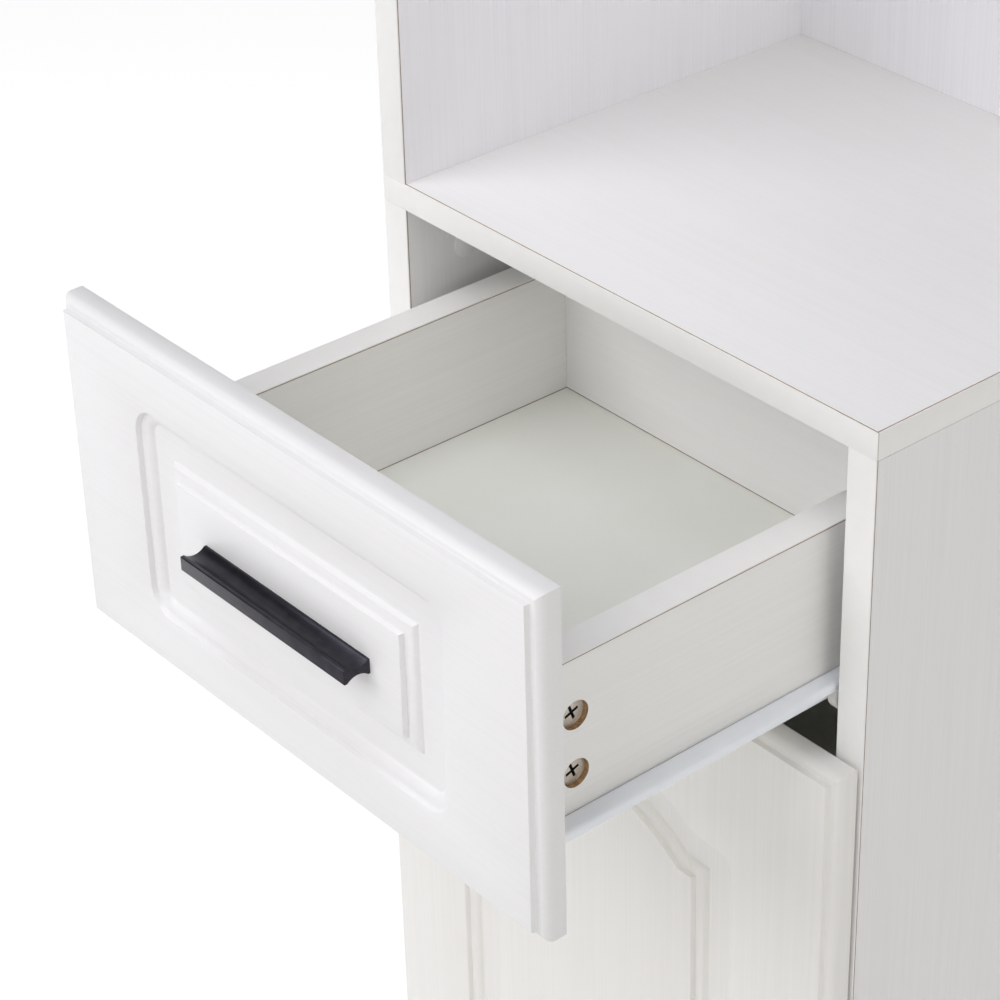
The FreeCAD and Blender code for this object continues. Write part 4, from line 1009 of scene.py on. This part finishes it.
dressCams("drawer_cams", "drawer", 1)
dressCams("carcass_cams", "cabinet", -1)
coverCams("cam_caps", "carcass_cams", "cabinet", melamineUpright)
for node, body, profile, metal in (
    ("board_screws", "cabinet", flatHead, platedSteel),
    ("drawer_back_screws", "drawer", flatHead, platedSteel),
    ("drawer_handle_screws", "drawer", trussHead, platedSteel),
    ("door_handle_screws", "door", trussHead, platedSteel),
    ("hinge_cup_screws", "door", panHead, nickelPlate),
    ("hinge_plate_screws", "cabinet", panHead, nickelPlate),
    ("channel_screws", "cabinet", panHead, platedSteel),
    ("drawer_member_screws", "drawer", panHead, platedSteel),
):
    dressScrews(node, body, profile, metal)
print("fasteners dressed")


# slides, rollers, hinges, handles and small pieces

def dressCopy(node, body, material, width):
    # the node's own shape with its edges rounded as a real one's are
    bm = nodeCopy(node)
    softenEdges(bm, width)
    finishPiece(node + "_dressed", bm, body, [material], meshValues["cornerAngle"], (node,))


for node, body, slot, material, width in (
    ("drawer_handle", "drawer", "handle_black", blackAnodised, 0.25 * mm),
    ("door_handle", "door", "handle_black", blackAnodisedUpright, 0.25 * mm),
    ("channel_member_right", "cabinet", "slide_white", slideWhite, 0.2 * mm),
    ("channel_member_left", "cabinet", "slide_white", slideWhite, 0.2 * mm),
    ("drawer_member_right", "drawer", "slide_white", slideWhite, 0.2 * mm),
    ("drawer_member_left", "drawer", "slide_white", slideWhite, 0.2 * mm),
    ("front_roller_right", "front_roller_right", "roller_nylon", nylon, 0.2 * mm),
    ("front_roller_left", "front_roller_left", "roller_nylon", nylon, 0.2 * mm),
    ("rear_roller_right", "rear_roller_right", "roller_nylon", nylon, 0.2 * mm),
    ("rear_roller_left", "rear_roller_left", "roller_nylon", nylon, 0.2 * mm),
    ("front_roller_axles", "cabinet", "zinc", platedSteel, 0.3 * mm),
    ("rear_roller_axles", "drawer", "zinc", platedSteel, 0.3 * mm),
    ("hinge_cup_lower", "door", "nickel_steel", nickelPlate, 0.25 * mm),
    ("hinge_cup_upper", "door", "nickel_steel", nickelPlate, 0.25 * mm),
    ("hinge_plate_lower", "cabinet", "nickel_steel", nickelPlate, 0.3 * mm),
    ("hinge_plate_upper", "cabinet", "nickel_steel", nickelPlate, 0.3 * mm),
    ("hinge_arm_lower", "cabinet", "nickel_steel", nickelPlate, 0.3 * mm),
    ("hinge_arm_upper", "cabinet", "nickel_steel", nickelPlate, 0.3 * mm),
    ("shelf_pins", "cabinet", "nickel_steel", nickelPlate, 0.4 * mm),
    ("floor_glides", "cabinet", "glide_plastic", polythene, 0.4 * mm),
    ("drawer_bumpers", "drawer", "bumper_plastic", softClear, 0.7 * mm),
    ("door_bumpers", "door", "bumper_plastic", softClear, 0.7 * mm),
    ("plinth_blocks", "cabinet", "beech", beechUpright, 0.5 * mm),
):
    dressCopy(node, body, material, width)

for node, material in (("dowels", beechUpright), ("carcass_cam_bolts", platedSteel),
                       ("drawer_cam_bolts", platedSteel)):
    nodes[node].material_slots[0].material = material
print("fittings dressed")


# floor, light, camera and the end

floorMesh = bmesh.new()
bmesh.ops.create_grid(floorMesh, x_segments=1, y_segments=1, size=studio["floorHalf"])
floorData = bpy.data.meshes.new("studio_floor")
floorMesh.to_mesh(floorData)
floorMesh.free()
floor = bpy.data.objects.new("studio_floor", floorData)
bpy.context.scene.collection.objects.link(floor)
floorData.materials.append(paintedFloor("paintedStudioFloor"))

# the soft light of a white room: pale walls at eye level and a dimmer ceiling
world = bpy.data.worlds.new("studioWorld")
world.use_nodes = True
skyTree = world.node_tree
skyTree.nodes.clear()
skyPlace = addNode(skyTree, "ShaderNodeTexCoord", {}, {})["Generated"]
skyHeight = addNode(skyTree, "ShaderNodeSeparateXYZ", {}, {"Vector": skyPlace})["Z"]
skyStrength = addNode(skyTree, "ShaderNodeMapRange", {"interpolation_type": "SMOOTHSTEP"},
                      {"Value": skyHeight, "From Max": studio["wallTop"],
                       "To Min": studio["wallStrength"], "To Max": studio["roomStrength"]})["Result"]
background = addNode(skyTree, "ShaderNodeBackground", {},
                     {"Color": linearColour(studio["wallColour"]), "Strength": skyStrength})
addNode(skyTree, "ShaderNodeOutputWorld", {}, {"Surface": background["Background"]})
bpy.context.scene.world = world

for name, place, watts, colour in studio["lamps"]:
    lamp = bpy.data.lights.new(name, "AREA")
    lamp.shape = "DISK"
    lamp.size = studio["lampDiameter"]
    lamp.energy = watts
    lamp.color = linearColour(colour)[:3]
    lampObject = bpy.data.objects.new(name, lamp)
    lampObject.location = place
    aim = Vector(studio["lampTarget"]) - Vector(place)
    lampObject.rotation_euler = aim.to_track_quat("-Z", "Y").to_euler()
    bpy.context.scene.collection.objects.link(lampObject)

lens = bpy.data.cameras.new("camera")
lens.sensor_width = camera["sensorWidth"]
lens.lens = camera["focalLength"]
lens.shift_x, lens.shift_y = camera["shift"]
lens.clip_end = camera["farClip"]
cameraObject = bpy.data.objects.new("camera", lens)
turn = Matrix.Rotation(math.radians(camera["heading"]), 4, "Z")
turn = turn @ Matrix.Rotation(math.radians(90 + camera["tilt"]), 4, "X")
turn = turn @ Matrix.Rotation(math.radians(camera["roll"]), 4, "Z")
cameraObject.matrix_world = Matrix.Translation(camera["place"]) @ turn
bpy.context.scene.collection.objects.link(cameraObject)
bpy.context.scene.camera = cameraObject
bpy.context.scene.view_settings.view_transform = "Standard"
print("studio set")
